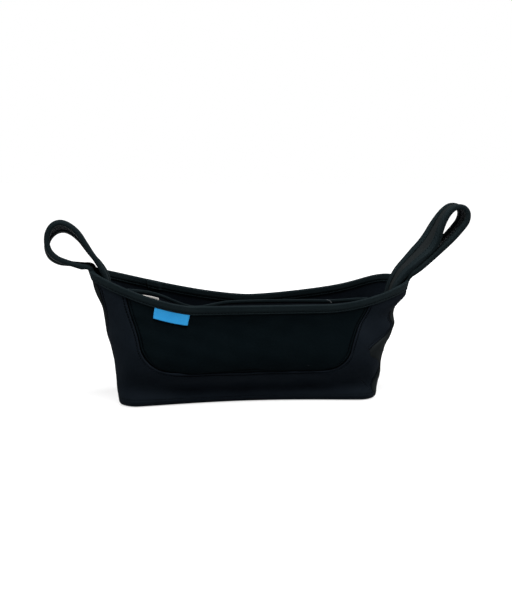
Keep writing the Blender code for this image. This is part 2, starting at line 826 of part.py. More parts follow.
def add_hook_patch(name, side):
    """The patch inside the end wall that grips the lining of the strap's tucked end."""
    middle = side_place(side, 0.0)
    height = rim_height(middle)
    top = 1 - (TUCK_DEPTH - TIP_CORNER) / height + PATCH_HEIGHT / height
    face = -FABRIC - CLEARANCE
    outer = []
    inner = []
    for i in range(5):
        v = top - PATCH_HEIGHT * i / 4 / height
        depth = wall_point(side_place(side, 1.0), v).y - wall_point(side_place(side, -1.0), v).y
        places = [side_place(side, w * PATCH_WIDTH / depth) for w in (-1, 0, 1)]
        outer.append([wall(p, v, face) for p in places])
        inner.append([wall(p, v, face - PATCH) for p in places])
    return add_sheet(name, outer, inner, "hook")


def divider_point(u, v, behind):
    """A point of the divider, which is sewn to the front along the pocket panel's seam and pouches inside it.

    Its top edge stands a little above the rim, and sags against the front at one place.
    """
    place = (u + 1) / 2
    across = clamp(1 - abs((u - POCKET_SHIFT) / pocket_half(v, SEAM_GAP)) ** DIVIDER_SIDE_POWER)
    upward = clamp((v - POCKET_FOOT) / (1 - POCKET_FOOT))
    sag = hump(u, SAG_PLACE, SAG_REACH)
    pouch = POUCH * across**0.5 * ease(upward / POUCH_TOP) * (1 - SAG_OF_POUCH * sag * ease(upward))
    tape_edge = 1 - TAPE_WIDTH / FRONT_HEIGHT
    past_tape = (TAPE_SLACK + TAPE + CLEARANCE) * ease((v - tape_edge + TAPE_WAY) / TAPE_WAY_LENGTH)
    rise = DIVIDER_RISE * across * (1 - SAG_OF_RISE * sag) * ease((v - RISE_START) / (1 - RISE_START))
    return wall(place, v, -FABRIC - 2 * CLEARANCE - past_tape - pouch - behind) + Vector((0, 0, rise))


def divider_rows(behind):
    return [[divider_point(u, v, behind) for u, v in row] for row in pocket_grid(2 * SEAM_GAP)]


def add_divider_panel():
    return add_sheet("divider_panel", divider_rows(0.0), divider_rows(DIVIDER_THICKNESS), "pocket")


def add_divider_binding():
    """A thin fold of tape over the divider's top edge."""
    sections = []
    faces = (divider_rows(0.0), divider_rows(DIVIDER_THICKNESS))
    skin = TAPE / 2
    for j in range(POCKET_STEPS + 1):
        top_front, top_back = [rows[-1][j] for rows in faces]
        low_front, low_back = [
            top + (rows[-2][j] - top).normalized() * DIVIDER_BINDING
            for top, rows in zip((top_front, top_back), faces)
        ]
        out = (top_front - top_back).normalized()
        up = (top_front - low_front).normalized()
        near = out * CLEARANCE
        far = out * (CLEARANCE + skin)
        sections.append([
            low_front + far,
            top_front + far + up * CLEARANCE,
            (top_front + top_back) / 2 + up * (CLEARANCE + skin),
            top_back - far + up * CLEARANCE,
            low_back - far,
            low_back - near,
            top_back - near + up * CLEARANCE,
            top_front + near + up * CLEARANCE,
            low_front + near,
        ])
    return add_tube("divider_binding", sections, False, "tape")


def add_front_tag():
    """A small folded tag that hangs from the lower edge of the front tape."""
    outer = []
    inner = []
    for i in range(4):
        drop = TAPE_WIDTH + 2 * CLEARANCE + TAG_HEIGHT * i / 3
        row_out = []
        row_in = []
        for j in range(7):
            u = TAG_PLACE + TAG_WIDTH * (j / 6 - 0.5) / (RIM_LENGTH / 2)
            v = 1 - drop * rim_stretch("front", u) / rim_height((u + 1) / 2)
            row_out.append(front(u, v, CLEARANCE + TAG_THICKNESS))
            row_in.append(front(u, v, CLEARANCE))
        outer.append(row_out)
        inner.append(row_in)
    return add_sheet("front_tag", outer, inner, "tag")


def add_care_label():
    """A plain label on the side of the divider that faces the front."""
    outer = []
    inner = []
    off = TAPE + 2 * CLEARANCE
    for i in range(4):
        row_out = []
        row_in = []
        for j in range(5):
            u = LABEL_PLACE + LABEL_WIDTH * (j / 4 - 0.5) / (RIM_LENGTH / 2)
            v = 1 - (DIVIDER_BINDING + CLEARANCE + LABEL_HEIGHT * i / 3) / rim_height((u + 1) / 2)
            row_out.append(divider_point(u, v, -off - TAG_THICKNESS))
            row_in.append(divider_point(u, v, -off))
        outer.append(row_out)
        inner.append(row_in)
    return add_sheet("care_label", outer, inner, "label")


def clear_scene():
    for thing in list(bpy.data.objects):
        bpy.data.objects.remove(thing, do_unlink=True)
    bpy.context.scene.collection.children.link(bpy.data.collections.new(OBJECT))


def build():
    clear_scene()
    add_base_panel()
    add_front_panel()
    add_front_pocket_panel()
    add_back_panel()
    add_gusset("left_gusset", -1)
    add_gusset("right_gusset", 1)
    add_edge_binding()
    add_strap_lining("left_strap_lining", -1)
    add_strap_lining("right_strap_lining", 1)
    add_hook_patch("left_hook_patch", -1)
    add_hook_patch("right_hook_patch", 1)
    add_divider_panel()
    add_divider_binding()
    add_front_tag()
    add_care_label()


build()
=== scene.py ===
"""The looks of the stroller organizer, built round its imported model.

The wall, the straps and the tape follow the same curves as the part's solids, in far more steps, with what the solids
leave out: seams that sink, cloth that puffs between them, stitches, a fuzzy lining and stray lint. A point of the wall
is given by its place round the ring (0 to 1 front, 1 to 2 right end, 2 to 3 back, 3 to 4 left end), the share v of
the height there and the distance outward. Metres, +X to the right of the photograph, +Y to the back, +Z up.
"""

import math

import bpy
import numpy as np
from mathutils import Matrix, Vector


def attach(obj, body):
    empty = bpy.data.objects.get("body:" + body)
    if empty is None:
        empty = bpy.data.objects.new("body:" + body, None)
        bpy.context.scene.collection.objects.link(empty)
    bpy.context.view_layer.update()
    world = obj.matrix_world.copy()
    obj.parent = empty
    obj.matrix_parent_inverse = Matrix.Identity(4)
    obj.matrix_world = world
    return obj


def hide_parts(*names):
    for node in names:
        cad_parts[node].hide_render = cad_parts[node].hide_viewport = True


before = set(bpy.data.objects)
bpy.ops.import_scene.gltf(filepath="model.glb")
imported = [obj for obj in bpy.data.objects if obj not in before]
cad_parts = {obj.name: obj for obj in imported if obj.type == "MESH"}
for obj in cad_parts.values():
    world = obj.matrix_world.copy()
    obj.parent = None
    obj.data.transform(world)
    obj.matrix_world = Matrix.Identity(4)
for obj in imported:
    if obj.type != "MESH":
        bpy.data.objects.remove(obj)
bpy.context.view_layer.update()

# Base, as in the part
BASE_LENGTH = 0.308
BASE_DEPTH = 0.090
BASE_CORNER = 0.024
BASE_SHIFT = -0.004
BASE_BOW = 0.012
BASE_ROLL = 0.007
CORNER_SEAM_ANGLE = math.radians(75)

# Rim, as in the part
RIM_LENGTH = 0.378
HALF_RIM = RIM_LENGTH / 2
RIM_OPENING = 0.070
FRONT_HEIGHT = 0.1155
BACK_HEIGHT = 0.117
LEFT_END_HEIGHT = 0.156
RIGHT_END_HEIGHT = 0.140
FRONT_LEFT_LEVEL = 0.37
FRONT_LEFT_CURVE = 1.5
FRONT_RIGHT_LEVEL = 0.45
FRONT_RIGHT_CURVE = 1.8
BACK_CURVE = 1.5
RIM_TAPER = 6
WALL_FLARE = 1.7

# Front, back and end forms, as in the part but for a deeper crease. A band is the place and the reach of a form, as
# shares of the height or of the length.
BELLY = 0.009
BELLY_BAND = (0.45, 0.25)
CREASE = 0.009
CREASE_BAND = (0.17, 0.09)
RIGHT_BUCKLE = 0.006
BUCKLE_BAND = (0.56, 0.13)
BUCKLE_POWER = 6
RIGHT_DENT = 0.003
DENT_BAND = (0.77, 0.09)
BACK_BELLY = 0.004
GUSSET_BELLY = 0.003
GUSSET_POWER = 8

# Fabric and straps, as in the part
FABRIC = 0.0022
LINING = 0.0010
LINING_INSET = 0.0012
LINING_START = 0.016
TAPE = 0.0009
TAPE_WIDTH = 0.0085
TAPE_SLACK = 0.0007
CLEARANCE = 0.0004
TUCK_CLEARANCE = 0.0032
STRAP_WIDTH = 0.030
TIP_CORNER = 0.010
TUCK_DEPTH = 0.060
STRAP_CORE = FABRIC + CLEARANCE + LINING
ROOT_BLEND = 0.012
CORNER_TURN = 0.008
CORNER_ROUND = 0.006
FOLD_READ = 0.002
CORE_START = 0.002
CORE_LENGTH = 0.009
NORMAL_STEP = 0.002

# Pocket, divider, tag and label, close to the part's
POCKET_SIDE = 0.755
POCKET_SHIFT = -0.033
POCKET_FOOT = 0.340
POCKET_CORNER_U = 0.22
POCKET_CORNER_V = 0.20
POUCH = 0.016
DIVIDER_THICKNESS = 0.0012
DIVIDER_RISE = 0.004
DIVIDER_BINDING = 0.0032
DIVIDER_SIDE_POWER = 6
DIVIDER_INSET = 0.0012
DIVIDER_WAVE = 0.0004
DIVIDER_WAVE_TURN = 23.0
POUCH_TOP = 0.8
RISE_START = 0.7
SAG_BAND = (-0.36, 0.14)
SAG_OF_POUCH = 0.75
SAG_OF_RISE = 0.9
TAPE_WAY = 0.13
TAPE_WAY_LENGTH = 0.08
TAG_WIDTH = 0.0405
TAG_HEIGHT = 0.0145
TAG_THICKNESS = 0.0006
TAG_PLACE = -0.5120
TAG_TUCK = 0.002
TAG_EDGE = 0.0004
TAG_HANG = 0.0007
TAG_LIFT = 0.0003
LABEL_WIDTH = 0.024
LABEL_HEIGHT = 0.016
LABEL_PLACE = -0.655
LABEL_DROP = 0.0012

# The tape's lap at the back: its length and place, its height in tape thicknesses and the steps that it rises over.
# A step is the way from one station of the tape to the next.
LAP_LENGTH = 0.016
LAP_PLACE = -0.666
LAP_STEP = 1.5
LAP_RISE = 1.5
TAPE_STEP = 0.0085

# Hook patches, as in the part
PATCH = 0.0012
PATCH_WIDTH = 0.011
PATCH_HEIGHT = 0.030

# What only the scene has: smaller folds of the two ends, as how far each stands out with its place and reach up the
# wall, how far the back rim lifts towards the right, how the pocket's sides lean, how far the divider's left end
# stands up, and how the tag is tilted
RIGHT_FOLDS = (
    (0.0024, 0.65, 0.045),
    (-0.0028, 0.755, 0.035),
    (0.0070, 0.885, 0.07),
    (-0.0012, 0.50, 0.06),
    (0.0028, 0.21, 0.15),
)
LEFT_FOLDS = ((0.0030, 0.10, 0.20), (0.0022, 0.53, 0.07), (0.0038, 0.86, 0.11))
BACK_LIFT = 0.0070
BACK_LIFT_BAND = (0.90, 0.20)
BACK_LIFT_POWER = 16
POCKET_LEAN = 0.085
POCKET_LEAN_BAND = (0.55, 0.25)
POCKET_LEFT_LEAN = 0.045
POCKET_LEFT_LEAN_BAND = (0.52, 0.22)
POCKET_SPREAD = 0.02
POCKET_SPREAD_BAND = (1.0, 0.2)
DIVIDER_HUMP = 0.0042
DIVIDER_HUMP_BAND = (-0.64, 0.13)
TAG_TILT = 0.33

# How far the end seams stand in from the corners, in metres, with place and reach up the wall
RIGHT_SEAM_WAVES = ((0.038, 0.47, 0.12), (0.009, 0.71, 0.06), (0.020, 0.13, 0.13))
LEFT_SEAM_WAVES = ((0.0095, 0.90, 0.24),)

# The flat bottom: its gap to the wall, its spine as a share of its length, and how far its middle is lifted
BASE_GAP = 0.0012
BASE_SPINE = 0.86
BASE_LIFT = 0.0002

# How panels round down into their seams, the near-black strips of painted shade laid in the seams, and how far the
# panels ripple
SEAM_DROP = 0.0014
SEAM_REACH = 0.0017
PANEL_GAP = 0.0006
SEAM_ALLOWANCE = 0.0030
ALLOWANCE_DEPTH = 0.0010
ALLOWANCE_BULGE = (1.0, 0.55, 0.0, 0.55, 1.0)
SEAM_SHADE_THICKNESS = 0.0006
SEAM_LINE_WIDTH = 0.0016
SEAM_LINE_DEPTH = 0.00035
CORNER_SEAM_RANGE = (0.03, 0.92)
STITCH_CHANNEL = 0.0008
STITCH_CHANNEL_REACH = 0.0009
FLAT_RIM = 0.015
RIPPLE = 0.00035
RIPPLE_WAVES = (0.070, 0.045, 0.030, 0.019)
SINK_SHARE = 0.3
END_COLUMNS = 37

# Stitches
STITCH_LENGTH = 0.0021
STITCH_PITCH = 0.0031
TAPE_STITCH_LENGTH = 0.0025
TAPE_STITCH_PITCH = 0.0038
# Stitches are wider and flatter than thread, so each dark dash also holds the painted shade of the pucker round its
# hole
STITCH_AND_PIT_SHADE_RADIUS = 0.00070
STITCH_FLATNESS = 0.5
TAPE_STITCH_DEPTH = 0.0066
SEAM_STITCH_OFFSET = 0.0029
FOOT_STITCH_HEIGHT = 0.0080

# Pile of the linings and hooks of the patches
PILE_COUNT = 7000
PILE_LENGTH = (0.0004, 0.0010)
PILE_LEAN = 0.00030
PILE_WIDTH = 0.00007
LINING_LUMPS = 0.00025
HOOK_COUNT = 500
HOOK_WIDTH = 0.0001

# Lint: where its thread and its fleck lie
LINT_PLACE = 0.470
LINT_REACH = 0.030
LINT_CURL = (0.0, 0.0006, 0.0012, 0.0024, 0.0040)
LINT_LIFT = 0.0008
LINT_RADIUS = 0.00016
FLECK_U = 0.385
FLECK_V = 0.405
FLECK_LENGTH = 0.004

# Light: each lamp's place, size and power, then the floor and the world, whose glow only the camera sees
LAMP_TARGET = (0, 0, 0.1)
LAMPS = {
    "top_light": ((0.1, -0.35, 1.4), (1.4, 0.8), 40),
    "left_light": ((-1.5, 0.0, 0.7), (1.0, 1.0), 12),
    "right_light": ((1.5, 0.1, 0.8), (1.0, 1.0), 18),
}
FLOOR_SIZE = 6.0
FLOOR_GREY = 0.30
FLOOR_GLOW = 0.72
FLOOR_GLOW_RISE = 0.30
FLOOR_FADE = (0.20, 0.60)
WORLD_LIGHT = 0.16
WORLD_GLOW = 0.84

# Camera: where it stands as the photograph does, in degrees and metres
VIEW_AZIMUTH = -7.0
VIEW_ELEVATION = 10.5
VIEW_ROLL = 0.4
VIEW_DISTANCE = 0.95
TARGET_RIGHT = 0.005
TARGET_HEIGHT = 0.121
LENS = 47.98

# The stations of the two straps, moved a little from the part's to fit the photograph: outward and up from the root,
# then the direction of the width
LEFT_LOOP = (
    ((0.0052, 0.0026), (0.00, 1.00, -0.02)),
    ((0.0108, 0.0043), (0.00, 0.99, -0.06)),
    ((0.0186, 0.0060), (0.00, 0.98, -0.12)),
    ((0.0282, 0.0081), (-0.02, 0.96, -0.20)),
    ((0.0382, 0.0110), (-0.06, 0.94, -0.28)),
    ((0.0468, 0.0180), (-0.11, 0.92, -0.33)),
    ((0.0502, 0.0285), (-0.13, 0.92, -0.32)),
    ((0.0482, 0.0392), (-0.09, 0.92, -0.35)),
    ((0.0416, 0.0474), (-0.04, 0.92, -0.38)),
    ((0.0326, 0.0502), (0.00, 0.92, -0.39)),
    ((0.0230, 0.0468), (0.00, 0.92, -0.39)),
    ((0.0135, 0.0383), (0.00, 0.92, -0.39)),
    ((0.0058, 0.0268), (0.00, 0.94, -0.34)),
    ((-0.0010, 0.0165), (0.00, 0.96, -0.26)),
    ((-0.0074, 0.0080), (0.00, 0.98, -0.17)),
    ((-0.0136, -0.0030), (0.00, 0.99, -0.09)),
    ((-0.0172, -0.0150), (0.00, 1.00, -0.03)),
)
RIGHT_LOOP = (
    ((0.0052, 0.0076), (0.00, 1.00, 0.00)),
    ((0.0155, 0.0151), (0.00, 1.00, 0.00)),
    ((0.0272, 0.0252), (0.00, 1.00, 0.00)),
    ((0.0398, 0.0366), (0.00, 1.00, 0.00)),
    ((0.0520, 0.0481), (0.00, 1.00, 0.00)),
    ((0.0624, 0.0596), (0.00, 1.00, 0.00)),
    ((0.0702, 0.0705), (0.00, 1.00, 0.00)),
    ((0.0716, 0.0807), (0.03, 1.00, 0.00)),
    ((0.0662, 0.0876), (0.05, 1.00, 0.00)),
    ((0.0570, 0.0878), (0.06, 1.00, 0.00)),
    ((0.0490, 0.0818), (0.05, 1.00, 0.02)),
    ((0.0424, 0.0722), (0.00, 0.99, 0.08)),
    ((0.0374, 0.0618), (-0.10, 0.98, 0.13)),
    ((0.0330, 0.0510), (-0.22, 0.95, 0.18)),
    ((0.0262, 0.0402), (-0.26, 0.93, 0.22)),
    ((0.0164, 0.0302), (-0.20, 0.95, 0.20)),
    ((0.0058, 0.0196), (-0.12, 0.98, 0.14)),
    ((-0.0052, 0.0078), (-0.06, 0.99, 0.08)),
    ((-0.0134, -0.0069), (0.00, 1.00, 0.04)),
)


# Plain arithmetic, on whole arrays at once


def mix(a, b, share):
    return a + (b - a) * share


def clamp(value, low=0.0, high=1.0):
    return np.clip(value, low, high)


def ease(value):
    value = clamp(value)
    return value * value * (3 - 2 * value)


def hump(value, middle, reach):
    return np.exp(-(((value - middle) / reach) ** 2))


def unit(vectors):
    return vectors / np.maximum(np.linalg.norm(vectors, axis=-1, keepdims=True), 1e-12)


def vector(x, y, z):
    return np.stack(np.broadcast_arrays(x, y, z), axis=-1).astype(float)


def lengths_along(points):
    """The distance travelled at each point of a line of points."""
    return np.concatenate([[0.0], np.cumsum(np.linalg.norm(np.diff(points, axis=0), axis=1))])


def read_along(line, values, goal):
    """The points read from values where the distance along the line is goal."""
    return np.stack([np.interp(goal, line, values[:, k]) for k in range(3)], axis=-1)


# The wall


def base_front(u):
    """Half of the base's outline, from the middle of the front (u = 0) to the seam on the corner (u = 1)."""
    straight = BASE_LENGTH / 2 - BASE_CORNER
    along = np.abs(u) * (straight + BASE_CORNER * CORNER_SEAM_ANGLE)
    turn = np.maximum(along - straight, 0) / BASE_CORNER
    x = np.minimum(along, straight) + BASE_CORNER * np.sin(turn)
    y = BASE_DEPTH / 2 - BASE_CORNER * (1 - np.cos(turn))
    return np.copysign(x, u), -y


def rim_half_depth(u):
    return STRAP_WIDTH / 2 + (RIM_OPENING - STRAP_WIDTH) / 2 * (1 - np.abs(u) ** RIM_TAPER)


def rim_rise(u, middle_height, level, curve):
    """The rim's height there: level round the middle, then a curve up to the end."""
    end_height = np.where(u < 0, LEFT_END_HEIGHT, RIGHT_END_HEIGHT)
    return mix(middle_height, end_height, clamp((np.abs(u) - level) / (1 - level)) ** curve)


def widening(v):
    return np.maximum(v, 0.0) ** WALL_FLARE


def right_buckle(u, v):
    out = RIGHT_BUCKLE * hump(v, *BUCKLE_BAND) - RIGHT_DENT * hump(v, *DENT_BAND)
    out = out + sum(size * hump(v, place, reach) for size, place, reach in RIGHT_FOLDS)
    return out * clamp(u) ** BUCKLE_POWER


def left_fold(u, v):
    return -sum(size * hump(v, place, reach) for size, place, reach in LEFT_FOLDS) * clamp(-u) ** BUCKLE_POWER


def front_point(u, v):
    base_x, base_y = base_front(u)
    middle = 1 - u * u
    x = mix(base_x + BASE_SHIFT, u * HALF_RIM, widening(v)) + right_buckle(u, v) + left_fold(u, v)
    y = mix(base_y, -rim_half_depth(u), v)
    y = y + BASE_BOW * middle * middle * (1 - v)
    y = y - BELLY * np.maximum(0.0, middle) ** 0.5 * hump(v, *BELLY_BAND)
    y = y + CREASE * (1 - u**4) * hump(v, *CREASE_BAND)
    level = np.where(u < 0, FRONT_LEFT_LEVEL, FRONT_RIGHT_LEVEL)
    curve = np.where(u < 0, FRONT_LEFT_CURVE, FRONT_RIGHT_CURVE)
    return vector(x, y, v * rim_rise(u, FRONT_HEIGHT, level, curve))


def back_point(u, v):
    base_x, base_y = base_front(u)
    x = mix(base_x + BASE_SHIFT, u * HALF_RIM, widening(v))
    y = mix(-base_y, rim_half_depth(u), v) + BACK_BELLY * (1 - u * u) * hump(v, *BELLY_BAND)
    lift = BACK_LIFT * hump(u, *BACK_LIFT_BAND) * clamp(1 - np.abs(u) ** BACK_LIFT_POWER)
    return vector(x, y, v * (rim_rise(u, BACK_HEIGHT, 0.0, BACK_CURVE) + lift))


def side_point(side, w, v):
    """The end wall. side is -1 at the left and 1 at the right, w is -1 at the front seam and 1 at the back seam."""
    edge = np.full(np.shape(w), float(side))
    front = front_point(edge, v)
    back = back_point(edge, v)
    middle = 1 - w * w
    reach = BASE_LENGTH / 2 - base_front(1.0)[0]
    swell = reach * np.maximum(0.0, middle) ** 0.5 * (1 - v) ** 2
    swell = swell + GUSSET_BELLY * middle * hump(v, *BELLY_BAND)
    share = (w + 1) / 2
    x = back[..., 0] + (front[..., 0] - back[..., 0]) * (1 - share) ** GUSSET_POWER + side * swell
    return vector(x, mix(front[..., 1], back[..., 1], share), front[..., 2])


def sharp_wall_point(place, v):
    """The wall before its corners are rounded."""
    place, v = np.broadcast_arrays(np.mod(place, 4.0), v)
    point = np.empty(place.shape + (3,))
    quarters = (
        lambda t, v: front_point(2 * t - 1, v),
        lambda t, v: side_point(1, 2 * t - 1, v),
        lambda t, v: back_point(1 - 2 * t, v),
        lambda t, v: side_point(-1, 1 - 2 * t, v),
    )
    for first, quarter in enumerate(quarters):
        there = (place >= first) & (place < first + 1)
        point[there] = quarter(place[there] - first, v[there])
    return point


def wall_point(place, v):
    """The outer face of the wall."""
    place, v = np.broadcast_arrays(np.asarray(place, float), np.asarray(v, float))
    seam = np.round(place)
    on_long_side = CORNER_ROUND / RIM_LENGTH
    on_end = CORNER_ROUND / STRAP_WIDTH
    odd = np.mod(seam, 2) == 1
    before = np.where(odd, on_long_side, on_end)
    after = np.where(odd, on_end, on_long_side)
    t = 0.5 + (place - seam) / (2 * np.where(place < seam, before, after))
    point = sharp_wall_point(place, v)
    turning = (t > 0) & (t < 1)
    if turning.any():
        share = t[turning][:, None]
        near = sharp_wall_point((seam - before)[turning], v[turning])
        far = sharp_wall_point((seam + after)[turning], v[turning])
        corner = sharp_wall_point(seam[turning], v[turning])
        point[turning] = mix(mix(near, corner, share), mix(corner, far, share), share)
    return point


def wall_normal(place, v):
    here = wall_point(place, v)
    ahead = unit(wall_point(place + NORMAL_STEP, v) - here)
    behind = unit(here - wall_point(place - NORMAL_STEP, v))
    above = unit(wall_point(place, v + NORMAL_STEP) - here)
    below = unit(here - wall_point(place, v - NORMAL_STEP))
    return unit(np.cross(ahead + behind, above + below))


def rim_height(place):
    return wall_point(place, 1.0)[..., 2]


def wall(place, v, outward=0.0):
    """A point at a distance outward from the wall's outer face. The last stretch above the base rolls under."""
    place, v, outward = np.broadcast_arrays(*[np.asarray(a, float) for a in (place, v, outward)])
    normal = wall_normal(place, np.maximum(v, 0.0))
    point = wall_point(place, v) + normal * outward[..., None]
    height = rim_height(place)
    low = clamp(1 - v * height / BASE_ROLL)
    rolled = low > 0
    if rolled.any():
        turn = (low[rolled] * math.pi / 2)[:, None]
        flat = unit(normal[rolled] * (1, 1, 0))
        radius = (BASE_ROLL + outward[rolled])[:, None]
        centre = wall_point(place[rolled], BASE_ROLL / height[rolled]) - flat * BASE_ROLL
        centre[:, 2] = BASE_ROLL
        point[rolled] = centre + flat * radius * np.cos(turn) - np.array((0, 0, 1)) * radius * np.sin(turn)
    return point


def seam_inset(side, v):
    """How far in from the corner the front's seam with an end wall runs, as a share of the front."""
    waves = RIGHT_SEAM_WAVES if side > 0 else LEFT_SEAM_WAVES
    return sum(size * hump(v, place, reach) for size, place, reach in waves) * ease((1 - v) * 9) / RIM_LENGTH


def front_place(u):
    """Where a share of the front, from -1 at its left to 1 at its right, lies round the ring."""
    return (np.asarray(u) + 1) / 2


def back_place(u):
    return 2 + (1 - np.asarray(u)) / 2


def front(u, v, outward=0.0):
    return wall(front_place(u), v, outward)


def side_place(side, w):
    return 1 + (w + 1) / 2 if side > 0 else 3 + (1 - w) / 2


# The straps


class Strap:
    """A strap's path: a smooth curve through its stations, read by the distance from the rim."""

    def __init__(self, side, loop):
        self.side = side
        middle = side_place(side, 0.0)
        across = (0.0, 1.0, 0.0)
        root = wall(middle, 1.0, -STRAP_CORE / 2)
        stations = [(wall(middle, v, -STRAP_CORE / 2), across) for v in (0.90, 0.95)]
        stations.append((root, across))
        for (out, rise), width in loop:
            stations.append((root + np.array((side * out, 0, rise)), unit(np.array(width))))
        inside = FABRIC + TAPE + TAPE_SLACK + TUCK_CLEARANCE + STRAP_CORE / 2
        end = 1 - TUCK_DEPTH / rim_height(middle)
        for share in (0.45, 0.70, 0.90, 1.10):
            stations.append((wall(middle, mix(1.0, end, share), -inside), across))
        self.points = self.smooth(np.array([place for place, _ in stations]))
        self.widths = unit(self.smooth(np.array([width for _, width in stations])))
        self.lengths = lengths_along(self.points)
        self.root = self.lengths[self.nearest(root)]
        self.length = self.lengths[self.nearest(wall(middle, end, -inside))] - self.root
        along = np.gradient(self.points, axis=0)
        along = unit(along + np.roll(along, 1, axis=0) + np.roll(along, -1, axis=0))
        self.outers = unit(np.cross(along, self.widths) if side < 0 else np.cross(self.widths, along))

    @staticmethod
    def smooth(stations, steps=10):
        """A curve through the stations, each stretch shaped by the stations beside it."""
        last = len(stations) - 1
        t = (np.arange(steps) / steps)[:, None]
        stretches = []
        for i in range(last):
            a, b, c, d = (stations[min(max(k, 0), last)] for k in (i - 1, i, i + 1, i + 2))
            stretches.append(
                a * (-(t**3) + 2 * t**2 - t) / 2
                + b * (3 * t**3 - 5 * t**2 + 2) / 2
                + c * (-3 * t**3 + 4 * t**2 + t) / 2
                + d * (t**3 - t**2) / 2
            )
        return np.concatenate(stretches + [stations[-1:]])

    def nearest(self, point):
        return int(np.argmin(np.linalg.norm(self.points - point, axis=1)))

    def read(self, values, distance):
        return read_along(self.lengths, values, self.root + distance)

    def point(self, across, distance, outward=0.0):
        """across is the distance from the front edge, distance is from the rim, outward is from the outer face."""
        arrays = [np.asarray(a, float) for a in (across, distance, outward)]
        across, distance, outward = np.broadcast_arrays(*arrays)
        middle = self.read(self.points, distance)
        width = unit(self.read(self.widths, distance))
        outer = unit(self.read(self.outers, distance))
        flat = middle + width * (across - STRAP_WIDTH / 2)[..., None]
        flat = flat + outer * (outward + STRAP_CORE / 2)[..., None]
        near = distance < ROOT_BLEND
        if near.any():
            w = clamp(2 * across[near] / STRAP_WIDTH - 1, -1, 1)
            place = side_place(self.side, w)
            on_wall = wall(place, 1 + distance[near] / rim_height(place), outward[near])
            flat[near] = mix(on_wall, flat[near], ease(distance[near] / ROOT_BLEND)[..., None])
        return flat

    def half_width(self, distance):
        """Half of the width there, which the rounded corners of the tip take in."""
        past = clamp(distance - (self.length - TIP_CORNER), 0, TIP_CORNER)
        return STRAP_WIDTH / 2 - TIP_CORNER + np.sqrt(TIP_CORNER**2 - past**2)


STRAPS = {-1: Strap(-1, LEFT_LOOP), 1: Strap(1, RIGHT_LOOP)}


# Meshes


def add_object(name, data):
    thing = bpy.data.objects.new(name, data)
    bpy.context.scene.collection.objects.link(thing)
    return thing


def add_mesh(name, points, faces, uv, material, slot, replaces=()):
    """A piece in the object's own frame, which rides with the bag and may stand for CAD nodes."""
    mesh = bpy.data.meshes.new(name)
    mesh.from_pydata(np.asarray(points).tolist(), [], faces)
    corners = np.empty(len(mesh.loops), dtype=np.int32)
    mesh.loops.foreach_get("vertex_index", corners)
    layer = mesh.uv_layers.new(name="cloth")
    layer.data.foreach_set("uv", np.asarray(uv, float)[corners].ravel())
    mesh.shade_smooth()
    mesh.materials.append(material)
    piece = add_object(name, mesh)
    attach(piece, "root")
    if replaces:
        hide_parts(*replaces)
    return piece


def grid_faces(rows, across, first=0, flip=False, closed=False):
    faces = []
    for i in range(rows - 1):
        for j in range(across if closed else across - 1):
            k = (j + 1) % across
            a, b = first + i * across + j, first + i * across + k
            face = (a, b, b + across, a + across)
            faces.append(face[::-1] if flip else face)
    return faces


def add_sheet(name, outer, inner, uv, material, slot, replaces=(), flip=False):
    """A sheet of cloth between two grids of points, rows by columns, closed round its border."""
    rows, across = outer.shape[:2]
    half = rows * across
    faces = grid_faces(rows, across, 0, flip) + grid_faces(rows, across, half, not flip)
    border = list(range(across))
    border += [i * across + across - 1 for i in range(1, rows)]
    border += [(rows - 1) * across + j for j in range(across - 2, -1, -1)]
    border += [i * across for i in range(rows - 2, 0, -1)]
    for a, b in zip(border, border[1:] + border[:1]):
        face = (b, a, half + a, half + b)
        faces.append(face[::-1] if flip else face)
    points = np.concatenate([outer.reshape(-1, 3), inner.reshape(-1, 3)])
    uv = uv.reshape(-1, 2)
    return add_mesh(name, points, faces, np.concatenate([uv, uv]), material, slot, replaces)


def add_panel(name, faces, material, slot="fabric", replaces=(), flip=False):
    """A sheet whose weave runs along X and Z. faces is its outer and its inner grid."""
    outer, inner = faces
    return add_sheet(name, outer, inner, outer[..., (0, 2)], material, slot, replaces, flip)


def add_tube(name, rings, line, girth, material, slot, replaces):
    """A closed tube through rings of points, measured lengthwise along line and crosswise along girth."""
    count, around = rings.shape[:2]
    faces = grid_faces(count, around, closed=True)
    faces.append(tuple(range(around)))
    faces.append(tuple(reversed(range((count - 1) * around, count * around))))
    uv = np.broadcast_arrays(lengths_along(line)[:, None], lengths_along(girth)[None, :])
    return add_mesh(name, rings.reshape(-1, 3), faces, np.stack(uv, axis=-1).reshape(-1, 2), material, slot, replaces)


def grid_lengths(points):
    """Distances along the rows and along the columns of a grid, measured from its first column and row."""
    along = np.cumsum(np.linalg.norm(np.diff(points, axis=1, prepend=points[:, :1]), axis=2), axis=1)
    upward = np.cumsum(np.linalg.norm(np.diff(points, axis=0, prepend=points[:1]), axis=2), axis=0)
    return along, upward


def border_distance(points, borders):
    """How far each point of a grid is from the borders named: top row, bottom row, left column, right column."""
    along, upward = grid_lengths(points)
    sides = {"b": upward, "t": upward[-1:] - upward, "l": along, "r": along[:, -1:] - along}
    return np.min(np.stack([sides[side] for side in borders]), axis=0)


def seam_drop(distance):
    """How far a panel's face sinks beside a seam: a quarter round, down into the seam."""
    left = clamp(1 - distance / SEAM_REACH)
    return SEAM_DROP * (1 - np.sqrt(1 - left * left))


def crowded(count):
    """Places from -1 to 1 that stand closer together towards the two ends."""
    places = np.linspace(-1, 1, count)
    return mix(places, np.sin(places * math.pi / 2), 0.85)


def ripple(points, seed):
    """Soft unevenness of foam-backed cloth: a sum of a few long waves, the same on every run."""
    chance = np.random.default_rng(seed)
    total = np.zeros(points.shape[:-1])
    for size in RIPPLE_WAVES:
        for _ in range(3):
            wave = chance.normal(size=3)
            wave *= 2 * math.pi / size / np.linalg.norm(wave)
            total += size * np.sin(points @ wave + chance.uniform(0, 2 * math.pi))
    return RIPPLE * total / RIPPLE_WAVES[0]


# Materials

